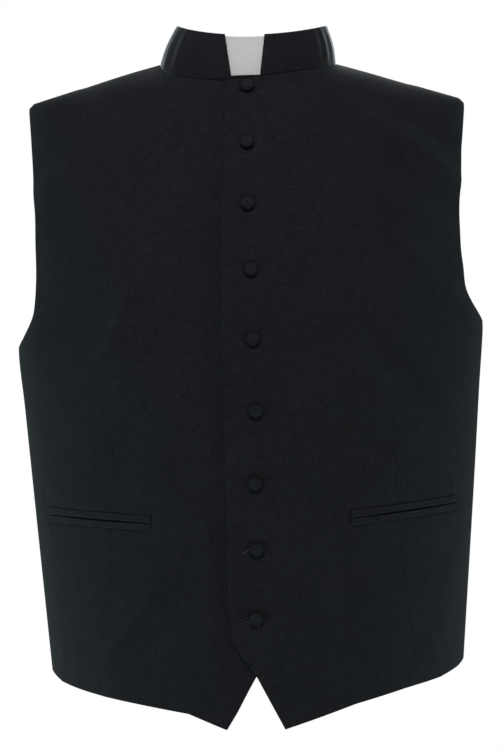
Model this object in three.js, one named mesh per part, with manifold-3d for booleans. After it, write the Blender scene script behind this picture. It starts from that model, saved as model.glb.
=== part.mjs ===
// A sleeveless clergy vest in the hollow shape it has when worn: two fronts that lap at the centre, a plain back,
// a standing collar with a white tab in its window, covered buttons and a pocket with two welts in each front.
// Millimetres, +Z up. The vest faces -Y, and +X is the wearer's left. The origin lies in the middle plane of the
// body, level with the neck ends of the shoulder seams, where the wearer's shoulders hold the vest up.
import * as THREE from "three";
import { mergeVertices } from "three/addons/utils/BufferGeometryUtils.js";
import Module from "manifold-3d";

// Cloth and seams
const SEAM_GAP = 0.3; // between two pieces that are sewn together
const FRONT_CLOTH = 2.2; // cloth with its interlining
const BACK_CLOTH = 1.6;

// Where the fronts lap, the under front steps back over a blend. The blend ends just beside the upper front's edge,
// or at furthest where the edge turns to its point.
const LAP = { gap: 0.8, beside: 2.5, furthestX: -21, blend: 16 };

// The collar starts at the neck seam. Its smaller top ring dips at the front.
const COLLAR = { cloth: 3, seamGap: 0.4, bulge: 2 };
const COLLAR_TOP = {
  side: 37.3, halfWidth: 73.2, shift: 8.2, frontZ: 20.4, frontDepth: 65, backZ: 33, backDepth: 60, skew: -1.7,
  twist: 1.5, roll: 1.4,
};
const WINDOW = { centreX: 0.8, sillZ: -19.6, topZ: 20, halfSill: 13.9, halfTop: 18.9 };
const TAB = { cloth: 1, halfWidth: 34, bottom: 0.03, top: 0.98 }; // bottom and top as shares of the collar's height

// Covered buttons, down the lap from the neck
const BUTTON = { radius: 6.8, shankRadius: 3, shank: 1.5, rim: 1.6, dome: 2.9 };
const BUTTON_ROW = [
  { x: 2, z: -31 },
  { x: 0.7, z: -86.7 },
  { x: 0, z: -145.1 },
  { x: 1.6, z: -206.7 },
  { x: 2.1, z: -271.6 },
  { x: 3, z: -338.1 },
  { x: 1, z: -405.4 },
  { x: 1, z: -466.6 },
  { x: -1, z: -531 },
];

// The slit of each pocket, from its end near the centre to its end near the side, and the welts above and below it
const POCKETS = {
  left: { innerX: 89.8, innerZ: -440.3, outerX: 192.5, outerZ: -430.2 },
  right: { innerX: 97, innerZ: -441, outerX: 195.5, outerZ: -433.4 },
};
const WELT = { slit: 0.8, height: 6.5, cloth: 1.3, bulge: 0.4 };

// Sections of the worn vest, from the neck seam down. Each is a ring round the wearer.
//   side, halfWidth: height and half width where front meets back
//   body: half width that the front and back would have if they didn't reach out to the shoulder seam
//   shift: how far the middle of the ring lies towards the wearer's left
//   frontZ, frontDepth and backZ, backDepth: height and distance from the side plane at the two centres
//   skew: how far the wearer's left side sits above the middle, and the right side below it
//   twist: how far the ring rises on the wearer's left and falls on the right, between the centre and the side
//   roll: 1 for a flat tilted ring, more where the cloth is level as it crosses the shoulder seam
//   square: 2 for an ellipse, more for fuller corners
const COLUMNS = [
  "side", "halfWidth", "body", "shift", "frontZ", "frontDepth", "backZ", "backDepth", "skew", "twist", "roll", "square",
];
const SECTIONS = [
  [-0.3, 86, 86, 3.4, -21.5, 75, -6, 66, -1.5, 8, 1, 2],
  [-8.2, 114, 111, 1.7, -46, 88, -24, 81, -1.5, 6, 1.3, 2.1],
  [-20, 152, 142, 0.8, -77, 102, -54, 98, -1.5, 3, 1.5, 2.2],
  [-41, 212.5, 187, 1.2, -122, 119, -98, 115, -1.8, 0, 1.7, 2.3],
  [-90, 218, 208, 0.5, -166, 129, -146, 123, 3, 0, 1.7, 2.35],
  [-160, 219.5, 216.5, -0.5, -212, 135.5, -196, 126, 6, 0, 1.7, 2.4],
  [-220, 221.2, 220.2, -0.4, -247, 138.5, -240, 125, 8, 0, 1.7, 2.4],
  [-266, 226.5, 226.5, 0, -284, 139.5, -279, 121, 8, 0, 1.7, 2.4],
  [-330, 221.5, 221.5, 0, -336, 138, -334, 112, 4, 0, 1.7, 2.4],
  [-430, 213.6, 213.6, 0, -430, 132.5, -430, 100, 1.5, 0, 1.7, 2.4],
  [-530, 205.4, 205.4, 0, -530, 126, -530, 102, 1.5, 0, 1.7, 2.4],
  [-660, 194.8, 194.8, 0, -660, 118, -660, 112, 1.5, 0, 1.7, 2.4],
];
const BODY_BLEND = 8; // how closely the cloth keeps to its body width until it nears the side
const NECK = 0;
const SHOULDER_END = 3;
const ARMPIT = 7;
const LAST = SECTIONS.length - 1;

// The armhole is an oval cut back from the side, in degrees round the section
const ARMHOLE = { frontCut: 27, backCut: 25, widest: 0.62, topCurve: 1.7, bottomCurve: 2.6 };

// The edge of each front at the lap, down to its point, and its hem from the point to the side
const LEFT_EDGE = [
  { z: -20, x: -18.7 },
  { z: -93, x: -22 },
  { z: -150, x: -25.2 },
  { z: -210, x: -26.9 },
  { z: -525, x: -26.4 },
  { z: -548, x: -24 },
  { z: -566, x: -16 },
  { z: -586, x: -1.5 },
  { z: -636, x: 24 },
];
const RIGHT_EDGE = [
  { z: -20, x: 19 },
  { z: -530, x: 20 },
  { z: -586, x: -1.5 },
  { z: -598, x: -8.5 },
  { z: -620, x: -20.5 },
  { z: -635.5, x: -30.5 },
];
const LEFT_HEM = [
  { x: 24, z: -636 },
  { x: 57, z: -625.6 },
  { x: 91, z: -614.4 },
  { x: 137, z: -603 },
  { x: 173, z: -596 },
  { x: 192, z: -589.2 },
  { x: 203, z: -583 },
];
const RIGHT_HEM = [
  { x: -30.5, z: -635.5 },
  { x: -66, z: -619.8 },
  { x: -100, z: -613.4 },
  { x: -146, z: -604.8 },
  { x: -170, z: -599.4 },
  { x: -188, z: -594.5 },
  { x: -202, z: -586 },
];
const BACK_HEM = { side: -583, centre: -590 };

// Soft folds of the fronts, each along a line from (x1, z1) to (x2, z2) as seen from the front. Height is out of
// the cloth, or into it below 0.
const FOLDS = [
  { x1: 112, z1: -62, x2: 196, z2: -122, width: 14, height: 1.4 },
  { x1: 102, z1: -88, x2: 196, z2: -156, width: 17, height: -3 },
  { x1: 148, z1: -188, x2: 206, z2: -212, width: 17, height: 2 },
  { x1: -158, z1: -104, x2: -200, z2: -134, width: 12, height: 2 },
  { x1: -120, z1: -122, x2: -196, z2: -160, width: 17, height: -2 },
  { x1: -112, z1: -220, x2: -130, z2: -305, width: 15, height: 2.2 },
  { x1: -88, z1: -478, x2: -142, z2: -585, width: 20, height: 2.4 },
  { x1: 100, z1: -490, x2: 118, z2: -600, width: 22, height: 1.8 },
];

// Grid steps
const FRONT_STEPS = { columns: 23, yoke: 6, armhole: 12, body: 7, point: 6 };
const BACK_STEPS = { columns: 34, yoke: 5, armhole: 10, body: 6, point: 3 };
const POINT_START = 0.71; // share of the way from armpit to hem at which the front's edge turns to its point
const COLLAR_STEPS = { columns: 72, rows: 4 };
const TAB_STEPS = { columns: 12, rows: 3 };
const WELT_STEPS = 14;
const BUTTON_STEPS = 18;
const BISECTIONS = 26;

const FRONT = -1;
const BACK = 1;
const LEFT = 1; // the wearer's left
const RIGHT = -1;
const SIDE_ANGLE = Math.PI / 2;
const PROBE = 1e-3; // step of the numerical slopes, in sections and in radians

const CLOTH_LOOK = { color: 0x16191b, roughness: 0.86, metalness: 0 };
const TAB_LOOK = { color: 0xe4e4e0, roughness: 0.55, metalness: 0 };

const { clamp, degToRad, lerp, smoothstep } = THREE.MathUtils;
const evenly = (count, make) => Array.from({ length: count + 1 }, (_, i) => make(i / count));

// Slopes of a curve through evenly spaced values that never overshoots them.
function slopesOf(values) {
  const steps = values.slice(1).map((value, i) => value - values[i]);
  return values.map((_, i) => {
    if (i === 0) return steps[0];
    if (i === steps.length) return steps[i - 1];
    const [before, after] = [steps[i - 1], steps[i]];
    return before * after > 0 ? (2 * before * after) / (before + after) : 0;
  });
}

const SECTION_CURVES = COLUMNS.map((key, column) => {
  const values = SECTIONS.map((section) => section[column]);
  return { key, values, slopes: slopesOf(values) };
});

// The section at a station between 0, the neck seam, and the last row of the table.
function sectionAt(station) {
  const i = clamp(Math.floor(station), 0, LAST - 1);
  const t = station - i;
  const [start, leave] = [(1 + 2 * t) * (1 - t) ** 2, t * (1 - t) ** 2];
  const [end, arrive] = [t * t * (3 - 2 * t), t * t * (t - 1)];
  const value = ({ key, values, slopes }) => [
    key,
    start * values[i] + leave * slopes[i] + end * values[i + 1] + arrive * slopes[i + 1],
  ];
  return Object.fromEntries(SECTION_CURVES.map(value));
}

// A point of a ring. The angle round it is 0 at the centre and a quarter turn at either side.
function ringPoint(ring, angle, facing) {
  const { square = 2, body = ring.halfWidth } = ring;
  const across = Math.sin(angle);
  const out = Math.max(Math.cos(angle), 0);
  const fullness = (Math.abs(across) ** square + out ** square) ** (1 / square);
  const halfWidth = lerp(body, ring.halfWidth, Math.abs(across) ** BODY_BLEND);
  const [depth, middle] = facing === FRONT ? [ring.frontDepth, ring.frontZ] : [ring.backDepth, ring.backZ];
  const twist = facing === FRONT ? ring.twist : 0;
  return new THREE.Vector3(
    ring.shift + (halfWidth * across) / fullness,
    (facing * depth * out) / fullness,
    lerp(ring.side, middle, out ** ring.roll) + across * (ring.skew + twist * out),
  );
}

// A point of the smooth form.
const formPoint = (station, angle, facing) => ringPoint(sectionAt(station), angle, facing);

// The outward normal of the smooth form.
function formNormal(station, angle, facing) {
  const limit = SIDE_ANGLE - 2 * PROBE;
  const at = clamp(angle, -limit, limit);
  const down = formPoint(station + PROBE, at, facing).sub(formPoint(station - PROBE, at, facing));
  const round = formPoint(station, at + PROBE, facing).sub(formPoint(station, at - PROBE, facing));
  return down.cross(round).multiplyScalar(-facing).normalize();
}

// The value at which a test that starts true turns false.
function turningPoint(low, high, isBefore) {
  let [from, to] = [low, high];
  for (let i = 0; i < BISECTIONS; i += 1) {
    const middle = (from + to) / 2;
    if (isBefore(middle)) from = middle;
    else to = middle;
  }
  return from;
}

// The angle round a section of the front at which the form reaches x.
function angleAt(station, x) {
  const section = sectionAt(station);
  return turningPoint(-SIDE_ANGLE, SIDE_ANGLE, (angle) => ringPoint(section, angle, FRONT).x < x);
}

// The station at which a point that moves down the form, angleOf(station), reaches a height that may depend on x.
function stationAt(angleOf, heightAt, facing) {
  return turningPoint(NECK, LAST, (station) => {
    const point = formPoint(station, angleOf(station), facing);
    return point.z > heightAt(point.x);
  });
}

// A value between the rows of a table, looked up by one of its columns.
function lookUp(table, by, key, at) {
  const rising = table[table.length - 1][by] > table[0][by];
  const next = table.findIndex((row) => (rising ? row[by] >= at : row[by] <= at));
  if (next === 0) return table[0][key];
  if (next < 0) return table[table.length - 1][key];
  const [a, b] = [table[next - 1], table[next]];
  return lerp(a[key], b[key], (at - a[by]) / (b[by] - a[by]));
}

// How far the under front steps back at (x, z).
function lapStep(x, z) {
  const end = Math.min(lookUp(LEFT_EDGE, "z", "x", z) - LAP.beside, LAP.furthestX);
  return (FRONT_CLOTH + LAP.gap) * smoothstep(x, end - LAP.blend, end);
}

// How far the folds lift the front at (x, z).
function foldHeight(x, z) {
  return FOLDS.reduce((sum, fold) => {
    const along = new THREE.Vector2(fold.x2 - fold.x1, fold.z2 - fold.z1);
    const from = new THREE.Vector2(x - fold.x1, z - fold.z1);
    const share = from.dot(along) / along.lengthSq();
    const away = from.cross(along) / along.length() / fold.width;
    const fade = smoothstep(share, -0.15, 0.3) * (1 - smoothstep(share, 0.8, 1.2));
    return sum + fold.height * Math.exp(-away * away) * fade;
  }, 0);
}

// A point of the cloth's outer face, moved out by lift, and its normal. At a seam the normal stays in the seam's
// plane.
function clothPoint(station, angle, piece, lift = 0, onSeam = false) {
  const point = formPoint(station, angle, piece.facing);
  const normal = formNormal(station, angle, piece.facing);
  if (onSeam) normal.setY(0).normalize();
  const folds = piece.facing === FRONT ? foldHeight(point.x, point.z) : 0;
  const step = piece.under ? lapStep(point.x, point.z) : 0;
  point.addScaledVector(normal, folds - step + lift);
  return { point, normal };
}

// The angle of a panel's outer edge: the shoulder seam, then the armhole, then the side seam.
function edgeAngle(station, facing) {
  const s = sectionAt(station);
  const seam = SIDE_ANGLE - SEAM_GAP / 2 / (facing === FRONT ? s.frontDepth : s.backDepth);
  if (station <= SHOULDER_END || station >= ARMPIT) return seam;
  const share = (station - SHOULDER_END) / (ARMPIT - SHOULDER_END);
  const above = share < ARMHOLE.widest;
  const away = above ? 1 - share / ARMHOLE.widest : (share - ARMHOLE.widest) / (1 - ARMHOLE.widest);
  const curve = above ? ARMHOLE.topCurve : ARMHOLE.bottomCurve;
  const cut = facing === FRONT ? ARMHOLE.frontCut : ARMHOLE.backCut;
  return seam - degToRad(cut) * (1 - away ** curve) ** (1 / curve);
}

// The outer points of a panel, a row for each step down it. A row runs from startAngle(station) to the edge. Beside
// the armhole the rows fan out, so that they meet the oval at even steps.
function panelGrid(piece, steps, startAngle, hemStation) {
  const edge = (station) => piece.side * edgeAngle(station, piece.facing);
  const outward = (t) => (piece.facing === BACK ? Math.abs(2 * t - 1) : t);
  const row = (stationOf) => {
    const stations = evenly(steps.columns, stationOf);
    const [start, end] = [startAngle(stations[0]), edge(stations[steps.columns])];
    return stations.map((station, i) => {
      const outer = outward(i / steps.columns) === 1;
      const onSeam = outer && (station <= SHOULDER_END || station >= ARMPIT);
      return clothPoint(station, lerp(start, end, i / steps.columns), piece, 0, onSeam);
    });
  };
  const hem = evenly(steps.columns, hemStation);
  const yoke = evenly(steps.yoke, (down) => row(() => lerp(NECK, SHOULDER_END, down)));
  const armhole = evenly(steps.armhole, (down) => {
    const round = (1 - Math.cos(Math.PI * down)) / 2;
    return row((t) => lerp(SHOULDER_END, ARMPIT, lerp(down, round, outward(t) ** 2)));
  });
  const toHem = (down) => row((t) => lerp(ARMPIT, hem[Math.round(t * steps.columns)], down));
  const body = evenly(steps.body, (down) => toHem(down * POINT_START));
  const tip = evenly(steps.point, (down) => toHem(lerp(POINT_START, 1, down)));
  return [...yoke, ...armhole.slice(1), ...body.slice(1), ...tip.slice(1)];
}

// A wall between a grid of outer points and the same points moved in. A closed grid joins its last column to its
// first.
function wall(grid, thickness, closed = false) {
  const [rows, columns] = [grid.length, grid[0].length];
  const outer = grid.flat().map(({ point }) => point);
  const inner = grid.flat().map(({ point, normal }) => point.clone().addScaledVector(normal, -thickness));
  const positions = [...outer, ...inner].flatMap((point) => point.toArray());
  const out = (row, column) => row * columns + (column % columns);
  const under = (row, column) => rows * columns + out(row, column);
  const index = [];
  const quad = (a, b, c, d) => index.push(a, b, c, a, c, d);
  const spans = closed ? columns : columns - 1;
  for (let r = 0; r < rows - 1; r += 1) {
    for (let c = 0; c < spans; c += 1) {
      quad(out(r, c), out(r + 1, c), out(r + 1, c + 1), out(r, c + 1));
      quad(under(r, c + 1), under(r + 1, c + 1), under(r + 1, c), under(r, c));
    }
  }
  for (let c = 0; c < spans; c += 1) {
    quad(out(0, c + 1), under(0, c + 1), under(0, c), out(0, c));
    quad(out(rows - 1, c), under(rows - 1, c), under(rows - 1, c + 1), out(rows - 1, c + 1));
  }
  for (let r = 0; r < rows - 1 && !closed; r += 1) {
    quad(out(r, 0), under(r, 0), under(r + 1, 0), out(r + 1, 0));
    quad(out(r + 1, spans), under(r + 1, spans), under(r, spans), out(r, spans));
  }
  return facingOut(positions, index);
}

// A geometry from positions and triangles, turned round if it is inside out.
function facingOut(positions, index) {
  const corner = (i) => new THREE.Vector3().fromArray(positions, 3 * index[i]);
  let volume = 0;
  for (let i = 0; i < index.length; i += 3) volume += corner(i).dot(corner(i + 1).cross(corner(i + 2)));
  const geometry = new THREE.BufferGeometry();
  geometry.setAttribute("position", new THREE.Float32BufferAttribute(positions, 3));
  geometry.setIndex(volume < 0 ? index.toReversed() : index);
  geometry.computeVertexNormals();
  return geometry;
}

// One front, from its edge at the lap out to the shoulder seam, armhole and side seam.
function frontPanel(piece, edge, hem) {
  const startAngle = (station) => angleAt(station, lookUp(edge, "z", "x", sectionAt(station).frontZ));
  const tip = stationAt((station) => angleAt(station, hem[0].x), () => hem[0].z, FRONT);
  const [start, end] = [startAngle(tip), piece.side * edgeAngle(LAST, FRONT)];
  const hemStation = (t) => stationAt(() => lerp(start, end, t), (x) => lookUp(hem, "x", "z", x), FRONT);
  return wall(panelGrid(piece, FRONT_STEPS, startAngle, hemStation), FRONT_CLOTH);
}

// The back, from side seam to side seam.
function backPanel() {
  const startAngle = (station) => -edgeAngle(station, BACK);
  const hemStation = (t) => {
    const angle = lerp(-SIDE_ANGLE, SIDE_ANGLE, t);
    return stationAt(() => angle, () => lerp(BACK_HEM.side, BACK_HEM.centre, Math.cos(angle)), BACK);
  };
  return wall(panelGrid({ facing: BACK, side: LEFT }, BACK_STEPS, startAngle, hemStation), BACK_CLOTH);
}

// A point of the collar's outer face. Height is a share of the collar's own, and the turn starts at the front.
function collarForm(height, turn) {
  const facing = Math.cos(turn) >= 0 ? FRONT : BACK;
  const [across, out] = [Math.sin(turn), Math.abs(Math.cos(turn))];
  const angle = Math.atan2(across, out);
  const base = formPoint(NECK, angle, facing);
  base.z += COLLAR.seamGap;
  const outward = new THREE.Vector3(across, facing * out, 0);
  return base
    .lerp(ringPoint(COLLAR_TOP, angle, facing), height)
    .addScaledVector(outward, COLLAR.bulge * Math.sin(Math.PI * height));
}

// The same with its normal, moved out by lift.
function collarPoint(height, turn, lift = 0) {
  const up = collarForm(height + PROBE, turn).sub(collarForm(height - PROBE, turn));
  const round = collarForm(height, turn + PROBE).sub(collarForm(height, turn - PROBE));
  const normal = round.cross(up).normalize();
  return { point: collarForm(height, turn).addScaledVector(normal, lift), normal };
}

// The collar band, open at the front where the window is cut down from its top.
function collarBand() {
  const turns = evenly(COLLAR_STEPS.columns, (t) => 2 * Math.PI * t).slice(0, -1);
  const grid = evenly(COLLAR_STEPS.rows, (height) => turns.map((turn) => collarPoint(height, turn)));
  const spread = (WINDOW.halfTop - WINDOW.halfSill) / (WINDOW.topZ - WINDOW.sillZ);
  const above = 2 * COLLAR_TOP.side;
  const halfAbove = WINDOW.halfSill + spread * (above - WINDOW.sillZ);
  const outline = new THREE.Shape([
    new THREE.Vector2(WINDOW.centreX - WINDOW.halfSill, WINDOW.sillZ),
    new THREE.Vector2(WINDOW.centreX + WINDOW.halfSill, WINDOW.sillZ),
    new THREE.Vector2(WINDOW.centreX + halfAbove, above),
    new THREE.Vector2(WINDOW.centreX - halfAbove, above),
  ]);
  const cutter = new THREE.ExtrudeGeometry(outline, { depth: sectionAt(NECK).frontDepth, bevelEnabled: false });
  cutter.rotateX(Math.PI / 2).translate(0, -COLLAR_TOP.frontDepth / 2, 0);
  return toGeometry(toSolid(wall(grid, COLLAR.cloth, true)).subtract(toSolid(cutter)));
}

// The tab, a curved strip behind the window.
function collarTab() {
  const halfTurn = Math.asin(TAB.halfWidth / COLLAR_TOP.halfWidth);
  const lift = -COLLAR.cloth - SEAM_GAP;
  const grid = evenly(TAB_STEPS.rows, (t) =>
    evenly(TAB_STEPS.columns, (u) => collarPoint(lerp(TAB.bottom, TAB.top, t), lerp(-halfTurn, halfTurn, u), lift)),
  );
  return wall(grid, TAB.cloth);
}

// A covered button on its shank, standing out from the left front.
function button({ x, z }) {
  const domeFrom = BUTTON.shank + BUTTON.rim;
  const dome = evenly(4, (t) => {
    const turn = (Math.PI / 2) * t;
    return new THREE.Vector2(BUTTON.radius * Math.cos(turn), domeFrom + BUTTON.dome * Math.sin(turn));
  });
  dome[dome.length - 1].setX(0);
  const profile = [
    new THREE.Vector2(0, 0),
    new THREE.Vector2(BUTTON.shankRadius, 0),
    new THREE.Vector2(BUTTON.shankRadius, BUTTON.shank),
    new THREE.Vector2(BUTTON.radius - 1, BUTTON.shank),
    ...dome,
  ];
  const geometry = new THREE.LatheGeometry(profile, BUTTON_STEPS);
  const { point, normal } = placeOnFront(x, z, PIECES.left, SEAM_GAP);
  const turn = new THREE.Quaternion().setFromUnitVectors(new THREE.Vector3(0, 1, 0), normal);
  return geometry.applyQuaternion(turn).translate(point.x, point.y, point.z);
}

// The cloth point of a front that is seen at (x, z) from the front, moved out by lift.
function placeOnFront(x, z, piece, lift) {
  const station = stationAt((middle) => angleAt(middle, x), () => z, FRONT);
  return clothPoint(station, angleAt(station, x), piece, lift);
}

// One welt of a pocket, above its slit for up = 1 or below it for up = -1.
function welt(piece, up) {
  const { innerX, innerZ, outerX, outerZ } = piece.pocket;
  const rows = [0, 0.5, 1].map((t) => {
    const rise = up * (WELT.slit / 2 + WELT.height * t);
    const lift = SEAM_GAP + WELT.cloth + WELT.bulge * Math.sin(Math.PI * t);
    return evenly(WELT_STEPS, (u) => {
      const x = piece.side * lerp(innerX, outerX, u);
      return placeOnFront(x, lerp(innerZ, outerZ, u) + rise, piece, lift);
    });
  });
  return wall(rows, WELT.cloth);
}

const manifold = await Module();
manifold.setup();

// A solid from a geometry, with equal corners joined.
function toSolid(geometry) {
  const bare = new THREE.BufferGeometry().setAttribute("position", geometry.getAttribute("position"));
  bare.setIndex(geometry.getIndex());
  const joined = mergeVertices(bare);
  const mesh = new manifold.Mesh({
    numProp: 3,
    vertProperties: joined.getAttribute("position").array,
    triVerts: joined.getIndex().array,
  });
  return new manifold.Manifold(mesh);
}

// A geometry from a solid.
function toGeometry(solid) {
  const { vertProperties, triVerts } = solid.getMesh();
  return facingOut(Array.from(vertProperties), Array.from(triVerts));
}

const PIECES = {
  left: { facing: FRONT, side: LEFT, under: false, pocket: POCKETS.left },
  right: { facing: FRONT, side: RIGHT, under: true, pocket: POCKETS.right },
};

const group = new THREE.Group();
function add(name, geometry, look) {
  const mesh = new THREE.Mesh(geometry, new THREE.MeshStandardMaterial(look));
  mesh.name = name;
  group.add(mesh);
}

add("front_left", frontPanel(PIECES.left, LEFT_EDGE, LEFT_HEM), CLOTH_LOOK);
add("front_right", frontPanel(PIECES.right, RIGHT_EDGE, RIGHT_HEM), CLOTH_LOOK);
add("back", backPanel(), CLOTH_LOOK);
add("collar", collarBand(), CLOTH_LOOK);
add("collar_tab", collarTab(), TAB_LOOK);
for (const [name, piece] of Object.entries(PIECES)) {
  add(`pocket_upper_welt_${name}`, welt(piece, 1), CLOTH_LOOK);
  add(`pocket_lower_welt_${name}`, welt(piece, -1), CLOTH_LOOK);
}
BUTTON_ROW.forEach((place, i) => add(`button_${i + 1}`, button(place), CLOTH_LOOK));

export default group;
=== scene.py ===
"""A sleeveless clergy vest in its worn shape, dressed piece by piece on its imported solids.

The vest faces -Y and +X is the wearer's left. The forms below are in millimetres, like the solids that they
dress, and meshes are scaled to metres as they are made.
"""

import logging
import math
from dataclasses import astuple, dataclass, field
from enum import Enum
from functools import partialmethod
from typing import Callable, Optional, Sequence, Union

import bpy
import numpy as np
from mathutils import Matrix, Vector


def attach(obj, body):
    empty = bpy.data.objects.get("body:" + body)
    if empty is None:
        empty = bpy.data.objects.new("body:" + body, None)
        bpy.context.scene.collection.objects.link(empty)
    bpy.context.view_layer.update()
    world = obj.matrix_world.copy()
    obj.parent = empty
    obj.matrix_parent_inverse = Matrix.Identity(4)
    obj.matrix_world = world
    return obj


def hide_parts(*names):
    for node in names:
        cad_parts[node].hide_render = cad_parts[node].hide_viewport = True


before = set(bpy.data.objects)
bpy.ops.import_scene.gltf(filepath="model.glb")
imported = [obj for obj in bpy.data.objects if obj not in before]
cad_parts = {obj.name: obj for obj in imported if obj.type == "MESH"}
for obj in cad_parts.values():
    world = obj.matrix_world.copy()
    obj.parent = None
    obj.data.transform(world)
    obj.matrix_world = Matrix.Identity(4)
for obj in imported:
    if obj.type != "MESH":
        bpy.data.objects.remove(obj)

LOG = logging.getLogger("clergy_vest")
Values = Union[float, np.ndarray]
Rows = Sequence[tuple[float, float]]

MM = 0.001
ROOT = "root"

SEAM_GAP = 0.3
SEAM_LAP = 0.1  # how far a panel reaches past the middle of its seam, so that no light shows through
FRONT_CLOTH = 2.2
BACK_CLOTH = 1.6
LAP_GAP = 0.8
LAP_BESIDE = 2.5  # how far beside the lap's edge the right front has stepped back in full
LAP_FURTHEST_X = -21.0
LAP_BLEND = 16.0
BODY_BLEND = 8  # how sharply the body's width gives way to the reach to the shoulder seam
SIDE_ANGLE = math.pi / 2
FOLD_STARTS, FOLD_ENDS = (-0.15, 0.3), (0.8, 1.2)  # where a fold fades in and out, as shares of its length
PROBE = 1e-3
BISECTIONS = 26
FAR = 1000.0  # stands for no seam or edge nearby, in millimetres
WHITE = (1.0, 1.0, 1.0, 1.0)
EDGE_ROUND = 0.49  # the radius of a wall's edge, as a share of its thickness
EDGE_STEPS = (0.25, 0.6, 1.1, 1.9)  # extra mesh lines this far from a cloth's edges, which are rounded


class Facing(Enum):
    """Which half of the vest a point lies on, as the sign of its Y."""

    FRONT = -1.0
    BACK = 1.0


class Hand(Enum):
    """The wearer's own side, as the sign of its X."""

    LEFT = 1.0
    RIGHT = -1.0


def smooth(value: Values, low: float, high: float) -> Values:
    """A soft step from 0 at low to 1 at high."""
    share = np.clip((value - low) / (high - low), 0.0, 1.0)
    return share * share * (3.0 - 2.0 * share)


def lerp(start: Values, end: Values, share: Values) -> Values:
    """The value at a share of the way from start to end."""
    return start + (end - start) * share


def turning_point(low: Values, high: Values, is_before: Callable[[np.ndarray], np.ndarray]) -> np.ndarray:
    """Finds where a test that starts true turns false, for many values at once.

    Args:
        low: Where each search starts.
        high: Where each search ends.
        is_before: The test, which takes and returns one entry for each search.

    Returns:
        The turning points.
    """
    low, high = np.broadcast_arrays(np.asarray(low, float), np.asarray(high, float))
    low, high = low.copy(), high.copy()
    for _ in range(BISECTIONS):
        middle = (low + high) / 2
        before = is_before(middle)
        low = np.where(before, middle, low)
        high = np.where(before, high, middle)
    return low


def steps(count: int, length: float, both: bool = True, bands: Rows = (), finer: float = 1.0,
          near: Sequence[float] = EDGE_STEPS) -> np.ndarray:
    """Shares from 0 to 1, with a few more close to the end, and to the start where both is set.

    Args:
        count: Number of steps, which are even outside the bands.
        length: The length that the shares are of.
        both: Whether the start gets the extra shares too.
        bands: The lowest and highest share of each stretch with smaller steps.
        finer: How many times smaller those steps are.
        near: How far from the end the extra shares lie.

    Returns:
        The shares in order.
    """
    share = np.linspace(0.0, 1.0, 4001)
    within = sum(((share > low) & (share < high) for low, high in bands), np.zeros(share.shape, bool))
    count_to = np.cumsum(np.where(within, finer, 1.0))
    even = np.interp(np.linspace(count_to[0], count_to[-1], count + 1), count_to, share)
    extra = [step / length for step in near]
    return np.unique(np.concatenate([even, [1.0 - step for step in extra], extra if both else []]))


@dataclass(frozen=True)
class Ring:
    """A ring of cloth round the wearer. A field holds one number, or one for each point that is asked for.

    side and half_width are the height and half width where front meets back, and body the half width
    without the reach to the shoulder seam. shift moves the ring to the wearer's left. front_z, front_depth,
    back_z and back_depth are the heights and depths at the two centres. skew lifts the left side and lowers
    the right one, and twist does so between centre and side. roll is 1 for a flat ring, and square is 2 for
    an ellipse.
    """

    side: Values
    half_width: Values
    body: Values
    shift: Values
    front_z: Values
    front_depth: Values
    back_z: Values
    back_depth: Values
    skew: Values
    twist: Values
    roll: Values
    square: Values

    def point(self, angle: Values, facing: Facing) -> np.ndarray:
        """A point of the ring, from 0 at the centre to a quarter turn at either side.

        Args:
            angle: The angle round the ring.
            facing: Front or back.

        Returns:
            The x, y and z of each point.
        """
        across, out = np.sin(angle), np.maximum(np.cos(angle), 0.0)
        fullness = (np.abs(across) ** self.square + out ** self.square) ** (1.0 / self.square)
        half_width = lerp(self.body, self.half_width, np.abs(across) ** BODY_BLEND)
        front = facing is Facing.FRONT
        depth, middle = (self.front_depth, self.front_z) if front else (self.back_depth, self.back_z)
        x = self.shift + half_width * across / fullness
        y = facing.value * depth * out / fullness
        tilt = self.skew + (self.twist * out if front else 0.0)
        z = lerp(self.side, middle, out ** self.roll) + across * tilt
        return np.stack(np.broadcast_arrays(x, y, z), axis=-1)


SECTIONS = (
    Ring(-0.3, 86, 86, 3.4, -21.5, 75, -6, 66, -1.5, 8, 1, 2),
    Ring(-8.2, 114, 111, 1.7, -46, 88, -24, 81, -1.5, 6, 1.3, 2.1),
    Ring(-20, 152, 142, 0.8, -77, 102, -54, 98, -1.5, 3, 1.5, 2.2),
    Ring(-41, 212.5, 187, 1.2, -122, 119, -98, 115, -1.8, 0, 1.7, 2.3),
    Ring(-90, 218, 208, 0.5, -166, 129, -146, 123, 3, 0, 1.7, 2.35),
    Ring(-160, 219.5, 216.5, -0.5, -212, 135.5, -196, 126, 6, 0, 1.7, 2.4),
    Ring(-220, 221.2, 220.2, -0.4, -247, 138.5, -240, 125, 8, 0, 1.7, 2.4),
    Ring(-266, 226.5, 226.5, 0, -284, 139.5, -279, 121, 8, 0, 1.7, 2.4),
    Ring(-330, 221.5, 221.5, 0, -336, 138, -334, 112, 4, 0, 1.7, 2.4),
    Ring(-430, 213.6, 213.6, 0, -430, 132.5, -430, 100, 1.5, 0, 1.7, 2.4),
    Ring(-530, 205.4, 205.4, 0, -530, 126, -530, 102, 1.5, 0, 1.7, 2.4),
    Ring(-660, 194.8, 194.8, 0, -660, 118, -660, 112, 1.5, 0, 1.7, 2.4),
)
NECK, SHOULDER_END, ARMPIT, LAST = 0, 3, 7, len(SECTIONS) - 1
COLLAR_TOP = Ring(37.3, 73.2, 73.2, 8.2, 20.4, 65, 33, 60, -1.7, 1.5, 1.4, 2)


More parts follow.
